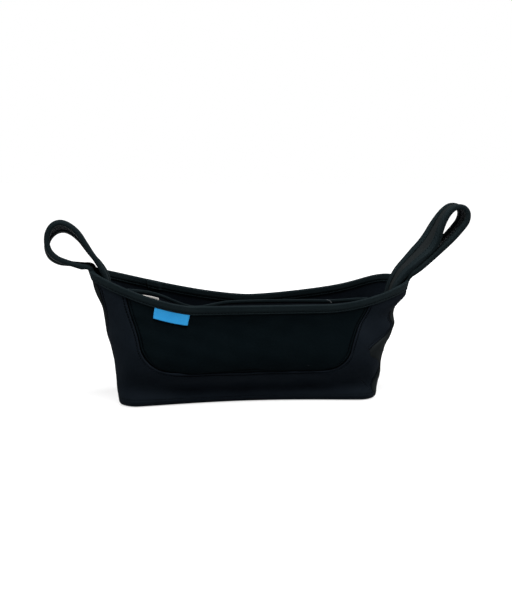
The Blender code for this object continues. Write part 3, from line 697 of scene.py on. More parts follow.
# Two noises as scale and detail, and the stretch of their mean over which a cloth goes from fresh to worn
BROAD_NOISE = (38.0, 3.0)
FINE_NOISE = (1500.0, 2.0)
WEAR_RANGE = (0.34, 0.66)


def fill_inputs(tree, node, inputs):
    """Give each input named a value, or the output of another node."""
    for name, value in inputs.items():
        if isinstance(value, bpy.types.NodeSocket):
            tree.links.new(value, node.inputs[name])
        else:
            node.inputs[name].default_value = value


def add_node(tree, kind, inputs, **settings):
    node = tree.nodes.new("ShaderNode" + kind)
    for name, value in settings.items():
        setattr(node, name, value)
    fill_inputs(tree, node, inputs)
    return node


def arithmetic(tree, operation, a, b=0.0):
    return add_node(tree, "Math", {0: a, 1: b}, operation=operation).outputs[0]


def noise(tree, place, scale, detail):
    return add_node(tree, "TexNoise", {"Scale": scale, "Detail": detail, "Vector": place}).outputs["Fac"]


def weave_height(tree, pitch, ribs):
    """The height of woven threads, from the piece's own cloth lengths in metres. Ribs run across a tape."""
    uv = add_node(tree, "UVMap", {}, uv_map="cloth").outputs["UV"]
    parts = add_node(tree, "SeparateXYZ", {"Vector": uv}).outputs
    turns = 2 * math.pi / pitch
    waves = [arithmetic(tree, "MULTIPLY", parts[axis], turns) for axis in ("X" if ribs else "XY")]
    waves = [arithmetic(tree, "SINE", wave) for wave in waves]
    return waves[0] if ribs else arithmetic(tree, "MULTIPLY", *waves)


def shader_tree(owner):
    owner.use_nodes = True
    return owner.node_tree


def cloth_material(name, colour, worn, pitch, depth, sheen, ribs=False, roughness=0.85, specular=0.04, fuzz=0.3):
    """Woven or knitted cloth: its threads, a fine irregular nap, and a colour that drifts towards a worn one."""
    material = bpy.data.materials.new(name)
    tree = shader_tree(material)
    place = add_node(tree, "TexCoord", {}).outputs["Object"]
    broad = noise(tree, place, *BROAD_NOISE)
    fine = noise(tree, place, *FINE_NOISE)
    blend = arithmetic(tree, "MULTIPLY", arithmetic(tree, "ADD", broad, fine), 0.5)
    low, high = WEAR_RANGE
    wear = add_node(tree, "MapRange", {"From Min": low, "From Max": high, "Value": blend}).outputs["Result"]
    colours = {"A": (*colour, 1), "B": (*worn, 1), "Factor": wear}
    nap = arithmetic(tree, "MULTIPLY", fine, 2.0 * fuzz)
    height = arithmetic(tree, "ADD", weave_height(tree, pitch, ribs), nap)
    bump = add_node(tree, "Bump", {"Strength": 0.5, "Distance": depth, "Height": height})
    inputs = {
        "Roughness": roughness,
        "Specular IOR Level": specular,
        "Sheen Weight": sheen,
        "Sheen Roughness": 0.45,
        "Sheen Tint": (*[min(1.0, 0.35 + 6 * c) for c in colour], 1),
        "Base Color": add_node(tree, "Mix", colours, data_type="RGBA").outputs["Result"],
        "Normal": bump.outputs["Normal"],
    }
    fill_inputs(tree, tree.nodes["Principled BSDF"], inputs)
    return material


FABRIC_CLOTH = cloth_material(
    "fabric", (0.0030, 0.0050, 0.0078), (0.0050, 0.0074, 0.0106), 0.0008, 0.00008, 0.02, specular=0.03
)
# The ends take a lighter copy of the wall fabric: painted light, for the right end's bulge that catches the light from
# the right
END_CLOTH_PAINTED_LIGHTER = cloth_material(
    "end_fabric_painted_lighter", (0.0062, 0.0080, 0.0086), (0.0096, 0.0116, 0.0122), 0.0008, 0.00008, 0.03, specular=0.03
)
POCKET_CLOTH = cloth_material(
    "pocket", (0.0008, 0.0024, 0.0034), (0.0016, 0.0036, 0.0046), 0.0008, 0.00008, 0.01, specular=0.02
)
INNER_CLOTH = cloth_material("inner", (0.0036, 0.0052, 0.0076), (0.0056, 0.0074, 0.0100), 0.0007, 0.00006, 0.02)
TAPE_CLOTH = cloth_material(
    "tape", (0.0030, 0.0064, 0.0080), (0.0056, 0.0098, 0.0114), 0.0007, 0.00012, 0.03, ribs=True, roughness=0.7
)
PILE_CLOTH = cloth_material("pile", (0.022, 0.025, 0.030), (0.045, 0.048, 0.054), 0.0011, 0.00020, 0.15, fuzz=1.0)
# Near-black: the stitches' own thread, and also painted shade in the strips laid into the seams
THREAD_AND_SEAM_SHADE = cloth_material(
    "thread", (0.0004, 0.0005, 0.0007), (0.0008, 0.0010, 0.0013), 0.0004, 0.00004, 0.0, ribs=True, specular=0.01
)
HOOKS = cloth_material("hooks", (0.005, 0.005, 0.006), (0.009, 0.009, 0.010), 0.0015, 0.00020, 0.0, roughness=0.5)
TAG_CLOTH = cloth_material(
    "tag", (0.020, 0.225, 0.520), (0.032, 0.290, 0.600), 0.0004, 0.00004, 0.05, ribs=True, roughness=0.6
)
LABEL_CLOTH = cloth_material(
    "label", (0.30, 0.28, 0.27), (0.50, 0.48, 0.46), 0.0003, 0.00003, 0.10, roughness=0.5
)
LINT = cloth_material("lint", (0.13, 0.14, 0.15), (0.20, 0.21, 0.22), 0.0005, 0.00003, 0.2)


# Panels


def pocket_half(v, inset=0.0):
    """Half of the pocket panel's width at a height, in u, with the corners at its foot rounded."""
    foot = POCKET_FOOT + inset / FRONT_HEIGHT
    below = clamp((foot + POCKET_CORNER_V - v) / POCKET_CORNER_V)
    side = POCKET_SIDE - inset / (BASE_LENGTH / 2)
    return side - POCKET_CORNER_U * (1 - np.sqrt(1 - below * below))


def pocket_lean(u, v):
    """How the pocket's sides lean in towards its foot, the right one more than the left one."""
    right = POCKET_LEAN * hump(v, *POCKET_LEAN_BAND) - POCKET_SPREAD * hump(v, *POCKET_SPREAD_BAND)
    left = POCKET_LEFT_LEAN * clamp(-u) ** 2 * hump(v, *POCKET_LEFT_LEAN_BAND)
    return left - clamp(u) ** 2 * right


def pocket_grid(inset, arc_steps, above_steps, across):
    """u and v over the pocket panel, from its foot to the rim."""
    foot = POCKET_FOOT + inset / FRONT_HEIGHT
    arc = foot + POCKET_CORNER_V * (1 - np.cos(np.linspace(0, math.pi / 2, arc_steps + 1)))
    heights = np.concatenate([arc, np.linspace(arc[-1], 1.0, above_steps + 1)[1:]])
    v = np.repeat(heights[:, None], across + 1, axis=1)
    u = POCKET_SHIFT + pocket_half(heights, inset)[:, None] * crowded(across + 1)
    return u + pocket_lean(u, v), v


def pocket_line(inset, arc_steps, above_steps, across):
    """u and v along the U-shaped seam, or at an inset from it, from its left top to its right top."""
    grids = pocket_grid(inset, arc_steps, above_steps, across)
    return tuple(np.concatenate([grid[::-1, 0], grid[0, 1:-1], grid[:, -1]]) for grid in grids)


def panel_ripple(place, v, seed):
    """How far a panel's outer face stands out from the smooth wall. It lies flat at the base and under the tape."""
    below_tape = (1 - v) * FRONT_HEIGHT - TAPE_WIDTH
    return ripple(wall(place, v), seed) * ease(v * 6) * ease(below_tape / FLAT_RIM)


def panel_faces(place, v, seams, seed, drop_share=1.0):
    """The two faces of a panel, which rounds down into the seams named and ripples between them."""
    gap = border_distance(wall(place, v), seams)
    channel = STITCH_CHANNEL * hump(gap, SEAM_STITCH_OFFSET, STITCH_CHANNEL_REACH)
    drop = (seam_drop(gap) + channel) * drop_share
    outer = wall(place, v, panel_ripple(place, v, seed) - drop)
    inner = wall(place, v, -FABRIC + SINK_SHARE * drop)
    return outer, inner


def add_front_pocket():
    u, v = pocket_grid(PANEL_GAP, 24, 50, 180)
    faces = panel_faces(front_place(u), v, "blr", 11)
    return add_panel("front_pocket", faces, POCKET_CLOTH, "pocket", ["front_pocket_panel"])


def between(place, v, outward, thickness):
    """The two faces of a thin cloth that follows the wall."""
    return wall(place, v, outward), wall(place, v, outward - thickness)


def add_painted_seam_shade():
    """The turned-in cloth behind the U-shaped seam, near-black as painted shade, which shows as the seam's dark line.
    """
    insets = np.linspace(-SEAM_ALLOWANCE, SEAM_ALLOWANCE, len(ALLOWANCE_BULGE))
    u, v = np.stack([pocket_line(inset, 24, 50, 180) for inset in insets], axis=1)
    v = np.minimum(v, 1 - 0.5 * TAPE_WIDTH / FRONT_HEIGHT)
    depth = ALLOWANCE_DEPTH + SEAM_DROP * np.array(ALLOWANCE_BULGE)[:, None]
    # Painted shade: the strip takes the near-black thread material where the seam's groove is only in shade.
    add_panel("seam_allowance", between(front_place(u), v, -depth, SEAM_SHADE_THICKNESS), THREAD_AND_SEAM_SHADE)


def add_corner_seam_shade():
    """The dark line at the bottom of each corner seam, where the two cloths meet: a strip of painted shade."""
    v = np.linspace(*CORNER_SEAM_RANGE, 120)[None, :]
    lines = {
        "front_left": seam_inset(-1, v),
        "front_right": 1 - seam_inset(1, v),
        "back_right": 2,
        "back_left": 3,
    }
    across = SEAM_LINE_WIDTH * np.linspace(-0.5, 0.5, 3)[:, None] / RIM_LENGTH
    for name, line in lines.items():
        place = line + across
        outward = panel_ripple(place, v, 12) - SEAM_LINE_DEPTH
        # Painted shade: near-black thread material laid where the seam is only in shade.
        add_panel("seam_" + name, between(place, v, outward, SEAM_SHADE_THICKNESS), THREAD_AND_SEAM_SHADE)


def yoke_grid():
    """u and v over the yoke: its rows run from the U-shaped seam out to the end seams and the base."""
    arc_steps, above_steps = 20, 60
    seam_u, seam_v = pocket_line(-PANEL_GAP, arc_steps, above_steps, 160)
    middle = len(seam_u) // 2
    corner = above_steps + arc_steps - arc_steps // 2
    place = np.arange(len(seam_u))
    k = np.minimum(place, len(seam_u) - 1 - place)
    sign = np.where(place <= middle, -1.0, 1.0)
    border_v = np.maximum(0.0, 1 - k / corner)
    inset = np.where(sign > 0, seam_inset(1, border_v), seam_inset(-1, border_v))
    border_u = sign * np.where(k <= corner, 1 - 2 * inset, (middle - k) / (middle - corner))
    share = (crowded(64)[:, None] + 1) / 2
    return mix(seam_u, border_u, share), mix(seam_v, border_v, share)


def add_front_yoke():
    u, v = yoke_grid()
    return add_panel(
        "front_yoke", panel_faces(front_place(u), v, "tb", 12), FABRIC_CLOTH, replaces=["front_panel"]
    )


def wall_rows(count):
    """Heights up the wall as shares, closer together where it rolls under."""
    roll = BASE_ROLL / FRONT_HEIGHT
    return np.concatenate([np.linspace(0, roll, 8)[:-1], np.linspace(roll, 1.0, count)])


def add_back():
    u, v = np.meshgrid(crowded(220), wall_rows(70))
    faces = panel_faces(back_place(u), v, "lr", 13)
    return add_panel("back", faces, FABRIC_CLOTH, replaces=["back_panel"], flip=True)


def add_end(hand, side, seed):
    """The end wall and the strap that it runs on into."""
    strap = STRAPS[side]
    w, v = np.meshgrid(crowded(END_COLUMNS), wall_rows(80))
    fade = ease((1 - v) * 6)
    inset = seam_inset(side, v) * ((1 - w) / 2) ** 2
    place = side_place(side, w) + (-inset if side > 0 else inset)
    outer, inner = panel_faces(place, v, "lr", seed, fade)
    distance = np.arange(0.0006, strap.length, 0.0012)
    distance = np.append(distance, strap.length)
    across = STRAP_WIDTH / 2 + strap.half_width(distance)[:, None] * crowded(END_COLUMNS)
    run = np.repeat(distance[:, None], across.shape[1], axis=1)
    waver = 0.5 * ripple(strap.point(across, run), seed + 1)
    outer = np.concatenate([outer, strap.point(across, run, waver)])
    inner = np.concatenate([inner, strap.point(across, run, waver - FABRIC)])
    along, upward = grid_lengths(outer)
    middle = END_COLUMNS // 2
    uv = np.stack([along, np.repeat(upward[:, middle : middle + 1], along.shape[1], axis=1)], axis=-1)
    return add_sheet(hand + "_end", outer, inner, uv, END_CLOTH_PAINTED_LIGHTER, "fabric", [hand + "_gusset"])


def add_base():
    """The flat bottom, inside the ring that the rolled foot of the wall leaves."""
    place = np.linspace(0, 4, 241)[:-1]
    rim = wall(place, 0.0) - unit(wall_normal(place, 0.0) * (1, 1, 0)) * BASE_GAP
    rim[:, 2] = 0.0
    spine = rim * (BASE_SPINE, 0.0, 0.0) + np.array((0.0, rim[:, 1].mean(), 0.0))
    share = np.linspace(0, 1, 24)[:, None, None]
    low = mix(spine, rim, share)
    low[..., 2] = BASE_LIFT * (1 - share[..., 0] ** 4)
    high = low + np.array((0, 0, FABRIC))
    across = low.shape[1]
    half = low.shape[0] * across
    faces = grid_faces(low.shape[0], across, 0, True, closed=True)
    faces += grid_faces(low.shape[0], across, half, False, closed=True)
    for first in (0, half - across):
        for j in range(across):
            k = (j + 1) % across
            face = (first + j, first + k, half + first + k, half + first + j)
            faces.append(face if first else face[::-1])
    points = np.concatenate([low.reshape(-1, 3), high.reshape(-1, 3)])
    return add_mesh("base", points, faces, points[:, :2], FABRIC_CLOTH, "fabric", ["base_panel"])


# Edge tape


def rim_stretch(panel, u):
    """How much longer a plumb line across the tape is than the tape's width, where the rim slopes."""
    point = front_point if panel == "front" else back_point
    run = point(u + NORMAL_STEP, 1.0) - point(u - NORMAL_STEP, 1.0)
    return np.linalg.norm(run, axis=-1) / np.hypot(run[..., 0], run[..., 1])


def rim_stretch_surface(panel, u):
    """Where the tape lies on the rim: a function of the depth in from the edge and the distance outward."""
    place = front_place(u) if panel == "front" else back_place(u)
    height = rim_height(place)
    stretch = rim_stretch(panel, u)
    return lambda depth, outward: wall(place, 1 - depth * stretch / height, outward)


def strap_edge_surface(strap, edge, distance):
    """The same along a strap's front edge (edge 0) or back edge (edge 1), and, below 0, on the rim beside it."""
    turned = ease((distance + CORNER_TURN) / (2 * CORNER_TURN))
    turn = math.pi / 2 * turned
    beside = 1 - np.maximum(-distance / HALF_RIM, NORMAL_STEP)
    stretch = mix(rim_stretch("back" if edge else "front", strap.side * beside), 1.0, turned)

    def surface(depth, outward):
        along = np.minimum(distance, 0.0) + depth * np.sin(turn)
        rise = np.maximum(distance, 0.0) - depth * stretch * np.cos(turn)
        outward = np.broadcast_to(outward, along.shape)
        on_strap = along >= 0
        points = np.empty(along.shape + (3,))
        across = STRAP_WIDTH - along if edge else along
        points[on_strap] = strap.point(across[on_strap], rise[on_strap], outward[on_strap])
        beyond = ~on_strap
        if beyond.any():
            u = strap.side * (1 + along[beyond] / HALF_RIM)
            place = back_place(u) if edge else front_place(u)
            points[beyond] = wall(place, 1 + rise[beyond] / rim_height(place), outward[beyond])
        return points

    return surface


def strap_tip_surface(strap, corner, angle):
    """The same round the strap's tip. angle is 0 on the strap's side and a quarter turn at its end."""

    def surface(depth, outward):
        radius = TIP_CORNER - depth
        across = TIP_CORNER - radius * np.cos(angle)
        if corner:
            across = STRAP_WIDTH - across
        distance = strap.length - TIP_CORNER + radius * np.sin(angle)
        return strap.point(across, distance, outward)

    return surface


def strap_stretches(side):
    """The tape's way round a strap: its front edge, its tip and its back edge, as surfaces with their cores."""
    strap = STRAPS[side]
    distance = np.arange(-CORNER_TURN, strap.length - TIP_CORNER, 0.0014)
    core = mix(FABRIC, STRAP_CORE, ease((distance - CORE_START) / CORE_LENGTH))
    turn = np.linspace(0, math.pi / 2, 9)
    tip = np.full(turn.shape, STRAP_CORE)
    return [
        (strap_edge_surface(strap, 0, distance), core),
        (strap_tip_surface(strap, 0, turn), tip),
        (strap_tip_surface(strap, 1, turn[::-1]), tip),
        (strap_edge_surface(strap, 1, distance[::-1]), core[::-1]),
    ]


def backwards(stretch):
    surface, core = stretch
    return (lambda depth, outward: surface(depth, outward)[::-1]), core[::-1]


def rim_stretches(panel, u):
    return [(rim_stretch_surface(panel, u), np.full(u.shape, FABRIC))]


def tape_stretches():
    """The tape's whole way round, from its lower end under the lap at the back left to its upper end over it.

    Each stretch is a surface, the thickness that the tape is folded over, and how far the tape is lifted by the lap.
    """
    inset = 1.5 * CORNER_TURN / HALF_RIM
    lap = LAP_LENGTH / HALF_RIM
    stretches = rim_stretches("back", np.arange(LAP_PLACE + lap, -1 + inset, -TAPE_STEP))
    stretches += [backwards(s) for s in reversed(strap_stretches(-1))]
    stretches += rim_stretches("front", np.arange(-1 + inset, 1 - inset, TAPE_STEP))
    stretches += strap_stretches(1)
    stretches += rim_stretches("back", np.arange(1 - inset, LAP_PLACE, -TAPE_STEP))
    lifts = [np.zeros(len(core)) for _, core in stretches]
    count = len(lifts[-1])
    climbed = (np.arange(count) - (count - lap / TAPE_STEP - LAP_RISE)) / LAP_RISE
    lifts[-1] = TAPE * LAP_STEP * ease(climbed)
    return [(surface, core, lift) for (surface, core), lift in zip(stretches, lifts)]


TAPE_STRETCHES = tape_stretches()

# The tape's leaf from its stitched edge to its fold: depth in from the rim, then its height as a share of the tape's
# thickness. It is pressed down at the edge and at the stitches, and puffs a little between them.
LEAF = (
    (0.0085, 0.15),
    (0.0083, 0.75),
    (0.0077, 1.05),
    (0.0071, 0.75),
    (0.0066, 0.35),
    (0.0061, 0.75),
    (0.0052, 1.20),
    (0.0040, 1.30),
    (0.0028, 1.25),
    (0.0016, 1.10),
)
FOLD_TURNS = 9
INNER_FOLD = (0.0085, 0.0045)
UNDER_LEAF = 0.3 * TAPE_SLACK
INSIDE_FOLD = 0.1 * TAPE_SLACK


def tape_section(surface, core, lift):
    """Sections of the tape folded over an edge, one for each station of the stretch."""
    outer_edge = surface(0.0, 0.0)
    inner_edge = surface(0.0, -core)
    middle = (outer_edge + inner_edge) / 2
    thick = outer_edge - inner_edge
    outer = unit(thick)
    away = middle - (surface(FOLD_READ, 0.0) + surface(FOLD_READ, -core)) / 2
    away = unit(away - outer * np.sum(away * outer, axis=-1, keepdims=True))
    half = np.linalg.norm(thick, axis=-1) / 2 + TAPE_SLACK
    ring = [surface(depth, UNDER_LEAF + TAPE * height + lift) for depth, height in LEAF]
    for angle in np.linspace(math.pi / 2, -math.pi / 2, FOLD_TURNS):
        sideways = (half + TAPE * 0.7 + lift) * math.sin(angle)
        onward = (TAPE_SLACK + TAPE) * math.cos(angle) + 0.0002
        ring.append(middle + away * onward + outer * sideways[:, None])
    ring += [surface(depth, -core - UNDER_LEAF - TAPE * height - lift) for depth, height in reversed(LEAF)]
    ring += [surface(depth, -core - INSIDE_FOLD) for depth in INNER_FOLD]
    ring.append(middle + away * INSIDE_FOLD)
    ring += [surface(depth, INSIDE_FOLD + lift) for depth in reversed(INNER_FOLD)]
    return np.stack(ring, axis=1)


def add_edge_tape():
    rings = np.concatenate([tape_section(*stretch) for stretch in TAPE_STRETCHES])
    line = rings[:, len(LEAF) + FOLD_TURNS // 2]
    return add_tube("edge_tape", rings, line, rings[0], TAPE_CLOTH, "tape", ["edge_binding"])


# Linings, patches, divider, tag and label

# The divider's binding: its thickness, its fold, and its leaf as a share of the way up and of the thickness
BINDING = 0.0005
BINDING_FOLD = 0.0008
BINDING_LEAF = ((0.0, 0.2), (0.15, 1.0), (0.5, 1.3), (0.85, 1.1))


def add_strips(name, roots, tips, width, chance, material, slot):
    """Many thin blades of pile or hook, each from a root to a tip."""
    count = len(roots)
    widths = unit(chance.normal(size=(count, 3))) * width
    points = np.concatenate([roots - widths, roots + widths, tips])
    faces = [(i, i + count, i + 2 * count) for i in range(count)]
    return add_mesh(name, points, faces, points[:, :2], material, slot)


def add_strap_lining(hand, side, seed):
    """The fuzzy strip on the inner face of a strap, and its pile where the tape leaves it bare."""
    strap = STRAPS[side]
    end = strap.length - LINING_INSET
    distance = np.append(np.arange(LINING_START, end, 0.0012), end)
    half = strap.half_width(distance) - LINING_INSET
    across = STRAP_WIDTH / 2 + half[:, None] * np.linspace(-1, 1, 25)
    run = np.repeat(distance[:, None], 25, axis=1)
    face = -FABRIC - 0.0001
    chance = np.random.default_rng(seed)
    lumps = chance.uniform(0, LINING_LUMPS, across.shape)
    outer = strap.point(across, run, face)
    inner = strap.point(across, run, face - LINING - lumps)
    uv = np.stack([across, run], axis=-1)
    name, node = hand + "_lining", hand + "_strap_lining"
    lining = add_sheet(name, outer, inner, uv, PILE_CLOTH, "lining", [node], flip=side < 0)
    bare = TAPE_WIDTH + 0.0003
    a = chance.uniform(bare, STRAP_WIDTH - bare, PILE_COUNT)
    d = chance.uniform(LINING_START + 0.001, end - bare, PILE_COUNT)
    roots = strap.point(a, d, face - LINING)
    lean = chance.normal(size=(PILE_COUNT, 3)) * PILE_LEAN
    tips = strap.point(a, d, face - LINING - chance.uniform(*PILE_LENGTH, PILE_COUNT)) + lean
    pile = add_strips(name + "_pile", roots, tips, PILE_WIDTH, chance, PILE_CLOTH, "lining")


def add_hook_patch(hand, side, seed):
    """The patch of small hooks inside the end wall, which grips the lining of the strap's tucked end."""
    height = rim_height(side_place(side, 0.0))
    top = 1 - (TUCK_DEPTH - TIP_CORNER) / height + PATCH_HEIGHT / height
    v = top - PATCH_HEIGHT / height * np.linspace(0, 1, 16)[:, None]
    depth = (wall_point(side_place(side, 1.0), v) - wall_point(side_place(side, -1.0), v))[..., 1]
    w = np.linspace(-1, 1, 9) * PATCH_WIDTH / depth
    v = np.repeat(v, 9, axis=1)
    face = -FABRIC - CLEARANCE
    outer, inner = between(side_place(side, w), v, face, PATCH * 0.5)
    name = hand + "_hooks"
    add_sheet(name, outer, inner, outer[..., (1, 2)], HOOKS, "hook", [hand + "_hook_patch"], flip=side < 0)
    chance = np.random.default_rng(seed)
    w = chance.uniform(w.min(), w.max(), HOOK_COUNT)
    v = chance.uniform(v.min(), v.max(), HOOK_COUNT)
    roots = wall(side_place(side, w), v, face - PATCH * 0.5)
    tips = wall(side_place(side, w), v, face - PATCH) + chance.normal(size=(HOOK_COUNT, 3)) * HOOK_WIDTH
    add_strips(name + "_field", roots, tips, HOOK_WIDTH, chance, HOOKS, "hook")


def divider_point(u, v, behind):
    """A point of the divider, which is sewn to the front along the pocket panel's seam and pouches inside it."""
    plain = u - pocket_lean(u, v)
    across = clamp(1 - np.abs((plain - POCKET_SHIFT) / pocket_half(v, 0.0006)) ** DIVIDER_SIDE_POWER)
    upward = clamp((v - POCKET_FOOT) / (1 - POCKET_FOOT))
    sag = hump(u, *SAG_BAND)
    pouch = POUCH * across**0.5 * ease(upward / POUCH_TOP) * (1 - SAG_OF_POUCH * sag * ease(upward))
    tape_edge = 1 - TAPE_WIDTH / FRONT_HEIGHT
    past_tape = (TAPE_SLACK + TAPE + CLEARANCE) * ease((v - tape_edge + TAPE_WAY) / TAPE_WAY_LENGTH)
    stand = DIVIDER_RISE * (1 - SAG_OF_RISE * sag) + DIVIDER_HUMP * hump(u, *DIVIDER_HUMP_BAND)
    rise = stand * across * ease((v - RISE_START) / (1 - RISE_START))
    point = front(u, v, -FABRIC - 2 * CLEARANCE - past_tape - pouch - behind)
    point[..., 2] += rise
    return point


def add_divider():
    """The divider panel and the thin fold of tape over its top edge."""
    u, v = pocket_grid(DIVIDER_INSET, 20, 60, 180)
    wave = DIVIDER_WAVE * np.sin(u * DIVIDER_WAVE_TURN) * ease((v - 0.5) / 0.5)
    near, far = divider_point(u, v, wave), divider_point(u, v, wave + DIVIDER_THICKNESS)
    panel = add_panel("divider", (near, far), INNER_CLOTH, "pocket", ["divider_panel"])
    top_front, top_back = near[-1], far[-1]
    low_front = top_front + unit(near[-6] - top_front) * DIVIDER_BINDING
    low_back = top_back + unit(far[-6] - top_back) * DIVIDER_BINDING
    out = unit(top_front - top_back)
    up = unit(top_front - low_front)
    centre = (top_front + top_back) / 2
    ring = [mix(low_front, top_front, share) + out * BINDING * lift for share, lift in BINDING_LEAF]
    for angle in np.linspace(math.pi / 2, -math.pi / 2, 7):
        sideways = out * (DIVIDER_THICKNESS / 2 + BINDING) * math.sin(angle)
        ring.append(centre + sideways + up * BINDING_FOLD * math.cos(angle))
    ring += [mix(low_back, top_back, share) - out * BINDING * lift for share, lift in reversed(BINDING_LEAF)]
    ring.append(centre - up * 0.0002)
    rings = np.stack(ring, axis=1)
    girth = rings[len(rings) // 2]
    tape = add_tube("divider_tape", rings, centre, girth, TAPE_CLOTH, "tape", ["divider_binding"])
    along, upward = grid_lengths(near)
    area = float(quad_areas(near).sum())


def quad_areas(points):
    """The area of each cell of a grid of points."""
    a = points[1:, 1:] - points[:-1, :-1]
    b = points[1:, :-1] - points[:-1, 1:]
    return np.linalg.norm(np.cross(a, b), axis=-1) / 2


def add_front_tag():
    """A small folded woven tag, sewn in under the front tape. It is left bare."""
    down = np.linspace(0, 1, 20)[:, None]
    drop = TAPE_WIDTH - TAG_TUCK + TAG_HEIGHT * down
    across = TAG_WIDTH * np.linspace(-0.5, 0.5, 50)
    top = TAG_PLACE + across / HALF_RIM
    u = TAG_PLACE + (across - TAG_TILT * (drop - TAPE_WIDTH)) / HALF_RIM
    v = 1 - drop * rim_stretch("front", top) / rim_height(front_place(top))
    plain = front(u, v)
    edge = clamp(border_distance(plain, "blr") / TAG_EDGE)
    thick = TAG_THICKNESS * np.sqrt(1 - (1 - edge) ** 2)
    hang = TAG_HANG * down**2 + TAG_LIFT
    uv = np.stack(grid_lengths(plain), axis=-1)
    faces = front(u, v, hang + thick), front(u, v, hang - 0.0001)
    tag = add_sheet("tag", *faces, uv, TAG_CLOTH, "tag", ["front_tag"], flip=True)


def add_care_label():
    """A plain label on the side of the divider that faces the front. It is left bare."""
    off = TAPE + 2 * CLEARANCE
    u = LABEL_PLACE + LABEL_WIDTH * np.linspace(-0.5, 0.5, 30) / HALF_RIM
    u = np.repeat(u[None, :], 20, axis=0)
    drop = DIVIDER_BINDING + LABEL_DROP + LABEL_HEIGHT * np.linspace(0, 1, 20)[:, None]
    v = 1 - drop / rim_height(front_place(u))
    outer, inner = divider_point(u, v, -off - TAG_THICKNESS), divider_point(u, v, -off)
    uv = np.stack(grid_lengths(outer), axis=-1)
    label = add_sheet("label", outer, inner, uv, LABEL_CLOTH, "label", ["care_label"], flip=True)


# Stitches and lint


def threads(starts, ends, normals, radius=STITCH_AND_PIT_SHADE_RADIUS):
    """Points and faces of many short threads, each a small rounded rod whose ends dip into the cloth."""
    around = 6
    along = unit(ends - starts)
    side = unit(np.cross(along, normals))
    up = unit(np.cross(side, along))
    rings = []
    for share, girth in ((0.0, 0.15), (0.12, 0.8), (0.5, 1.0), (0.88, 0.8), (1.0, 0.15)):
        dip = STITCH_FLATNESS * radius * (1 - 4 * share * (1 - share)) * 1.5
        centre = mix(starts, ends, share) - up * dip
        for k in range(around):
            angle = 2 * math.pi * k / around
            rings.append(centre + (side * math.cos(angle) + up * math.sin(angle) * STITCH_FLATNESS) * radius * girth)
    points = np.stack(rings, axis=1)
    each = points.shape[1]
    faces = []
    for i in range(len(points)):
        first = i * each
        faces += grid_faces(each // around, around, first, True, closed=True)
        faces.append(tuple(range(first, first + around)))
        faces.append(tuple(range(first + each - 1, first + each - around - 1, -1)))
    return points.reshape(-1, 3), faces


def stitch_spans(line, normals, pitch, length):
    """The two ends and the normal of each stitch along a line of points."""
    travelled = lengths_along(line)
    middles = np.arange(pitch / 2, travelled[-1] - pitch / 2, pitch)
    starts, ends = (read_along(travelled, line, middles + half) for half in (-length / 2, length / 2))
    return starts, ends, unit(read_along(travelled, normals, middles))


def panel_line(place, v, seed, sink=0.3 * STITCH_CHANNEL):
    """A line of stitches along a panel's channel, with its normals."""
    outward = panel_ripple(place, v, seed) - sink
    line = wall(place, v, outward)
    return line, wall(place, v, outward + 0.001) - line


def pocket_seam_line(inset, seed):
    """A line of stitches beside the pocket panel's seam, from its left top to its right top."""
    u, v = pocket_line(inset, 30, 60, 120)
    return panel_line(front_place(u), np.minimum(v, 1 - (TAPE_WIDTH + 0.0005) / FRONT_HEIGHT), seed)


def tape_stitch_lines():
    """The row that holds the tape, on its outer leaf and on its inner leaf, with the normals."""
    height = UNDER_LEAF + 0.50 * TAPE
    rows = ([], []), ([], [])
    for surface, core, lift in TAPE_STRETCHES:
        for (line, normals), outward, onward in zip(rows, (height + lift, -core - height - lift), (0.001, -0.001)):
            here = surface(TAPE_STITCH_DEPTH, outward)
            line.append(here)
            normals.append(surface(TAPE_STITCH_DEPTH, outward + onward) - here)
    return [(np.concatenate(line), np.concatenate(normals)) for line, normals in rows]


def add_stitches():
    beside = SEAM_STITCH_OFFSET + PANEL_GAP
    off = SEAM_STITCH_OFFSET / RIM_LENGTH
    v = np.linspace(0.07, 0.93, 60)
    corners = (off + seam_inset(-1, v), 12), (1 - off - seam_inset(1, v), 12), (2 + off, 13), (3 - off, 13)
    low = FOOT_STITCH_HEIGHT / FRONT_HEIGHT
    share = np.linspace(0.02, 0.98, 200)
    rows = {
        "tape_stitches": tape_stitch_lines(),
        "pocket_stitches": [pocket_seam_line(beside, 11), pocket_seam_line(-beside, 12)],
        "corner_stitches": [panel_line(place, v, seed) for place, seed in corners],
        "foot_stitches": [panel_line(share, low, 12, 0.0), panel_line(2 + share, low, 13, 0.0)],
    }
    for name, lines in rows.items():
        pitch, length = STITCH_PITCH, STITCH_LENGTH
        if name == "tape_stitches":
            pitch, length = TAPE_STITCH_PITCH, TAPE_STITCH_LENGTH
        spans = [stitch_spans(line, normals, pitch, length) for line, normals in lines]
        points, faces = threads(*(np.concatenate(parts) for parts in zip(*spans)))
        add_mesh(name, points, faces, points[:, (0, 2)], THREAD_AND_SEAM_SHADE, "tape")


def add_lint():
    """A white thread that lies on the divider's binding, and a light fleck on the pocket."""
    curl = np.array(LINT_CURL)
    u = np.linspace(LINT_PLACE, LINT_PLACE + LINT_REACH, len(curl))
    line = divider_point(u, np.ones(len(curl)), -TAPE - 0.0012)
    line[:, 2] += LINT_LIFT - curl
    fleck = front(np.array((FLECK_U, FLECK_U + FLECK_LENGTH)), FLECK_V, 0.0006)
    starts = np.concatenate([line[:-1], fleck[:1]])
    ends = np.concatenate([line[1:], fleck[1:]])
    normals = np.repeat([(0.0, -1.0, 0.0)], len(starts), axis=0)
    points, faces = threads(starts, ends, normals, LINT_RADIUS)
    add_mesh("lint", points, faces, points[:, (0, 2)], LINT, "label")


# Light, floor and camera


def add_light(name, place, size, power):
    lamp = bpy.data.lights.new(name, "AREA")
    lamp.shape = "RECTANGLE"
    lamp.size, lamp.size_y = size
    lamp.energy = power
    thing = add_object(name, lamp)
    thing.location = place
    thing.rotation_euler = (Vector(LAMP_TARGET) - Vector(place)).to_track_quat("-Z", "Y").to_euler()


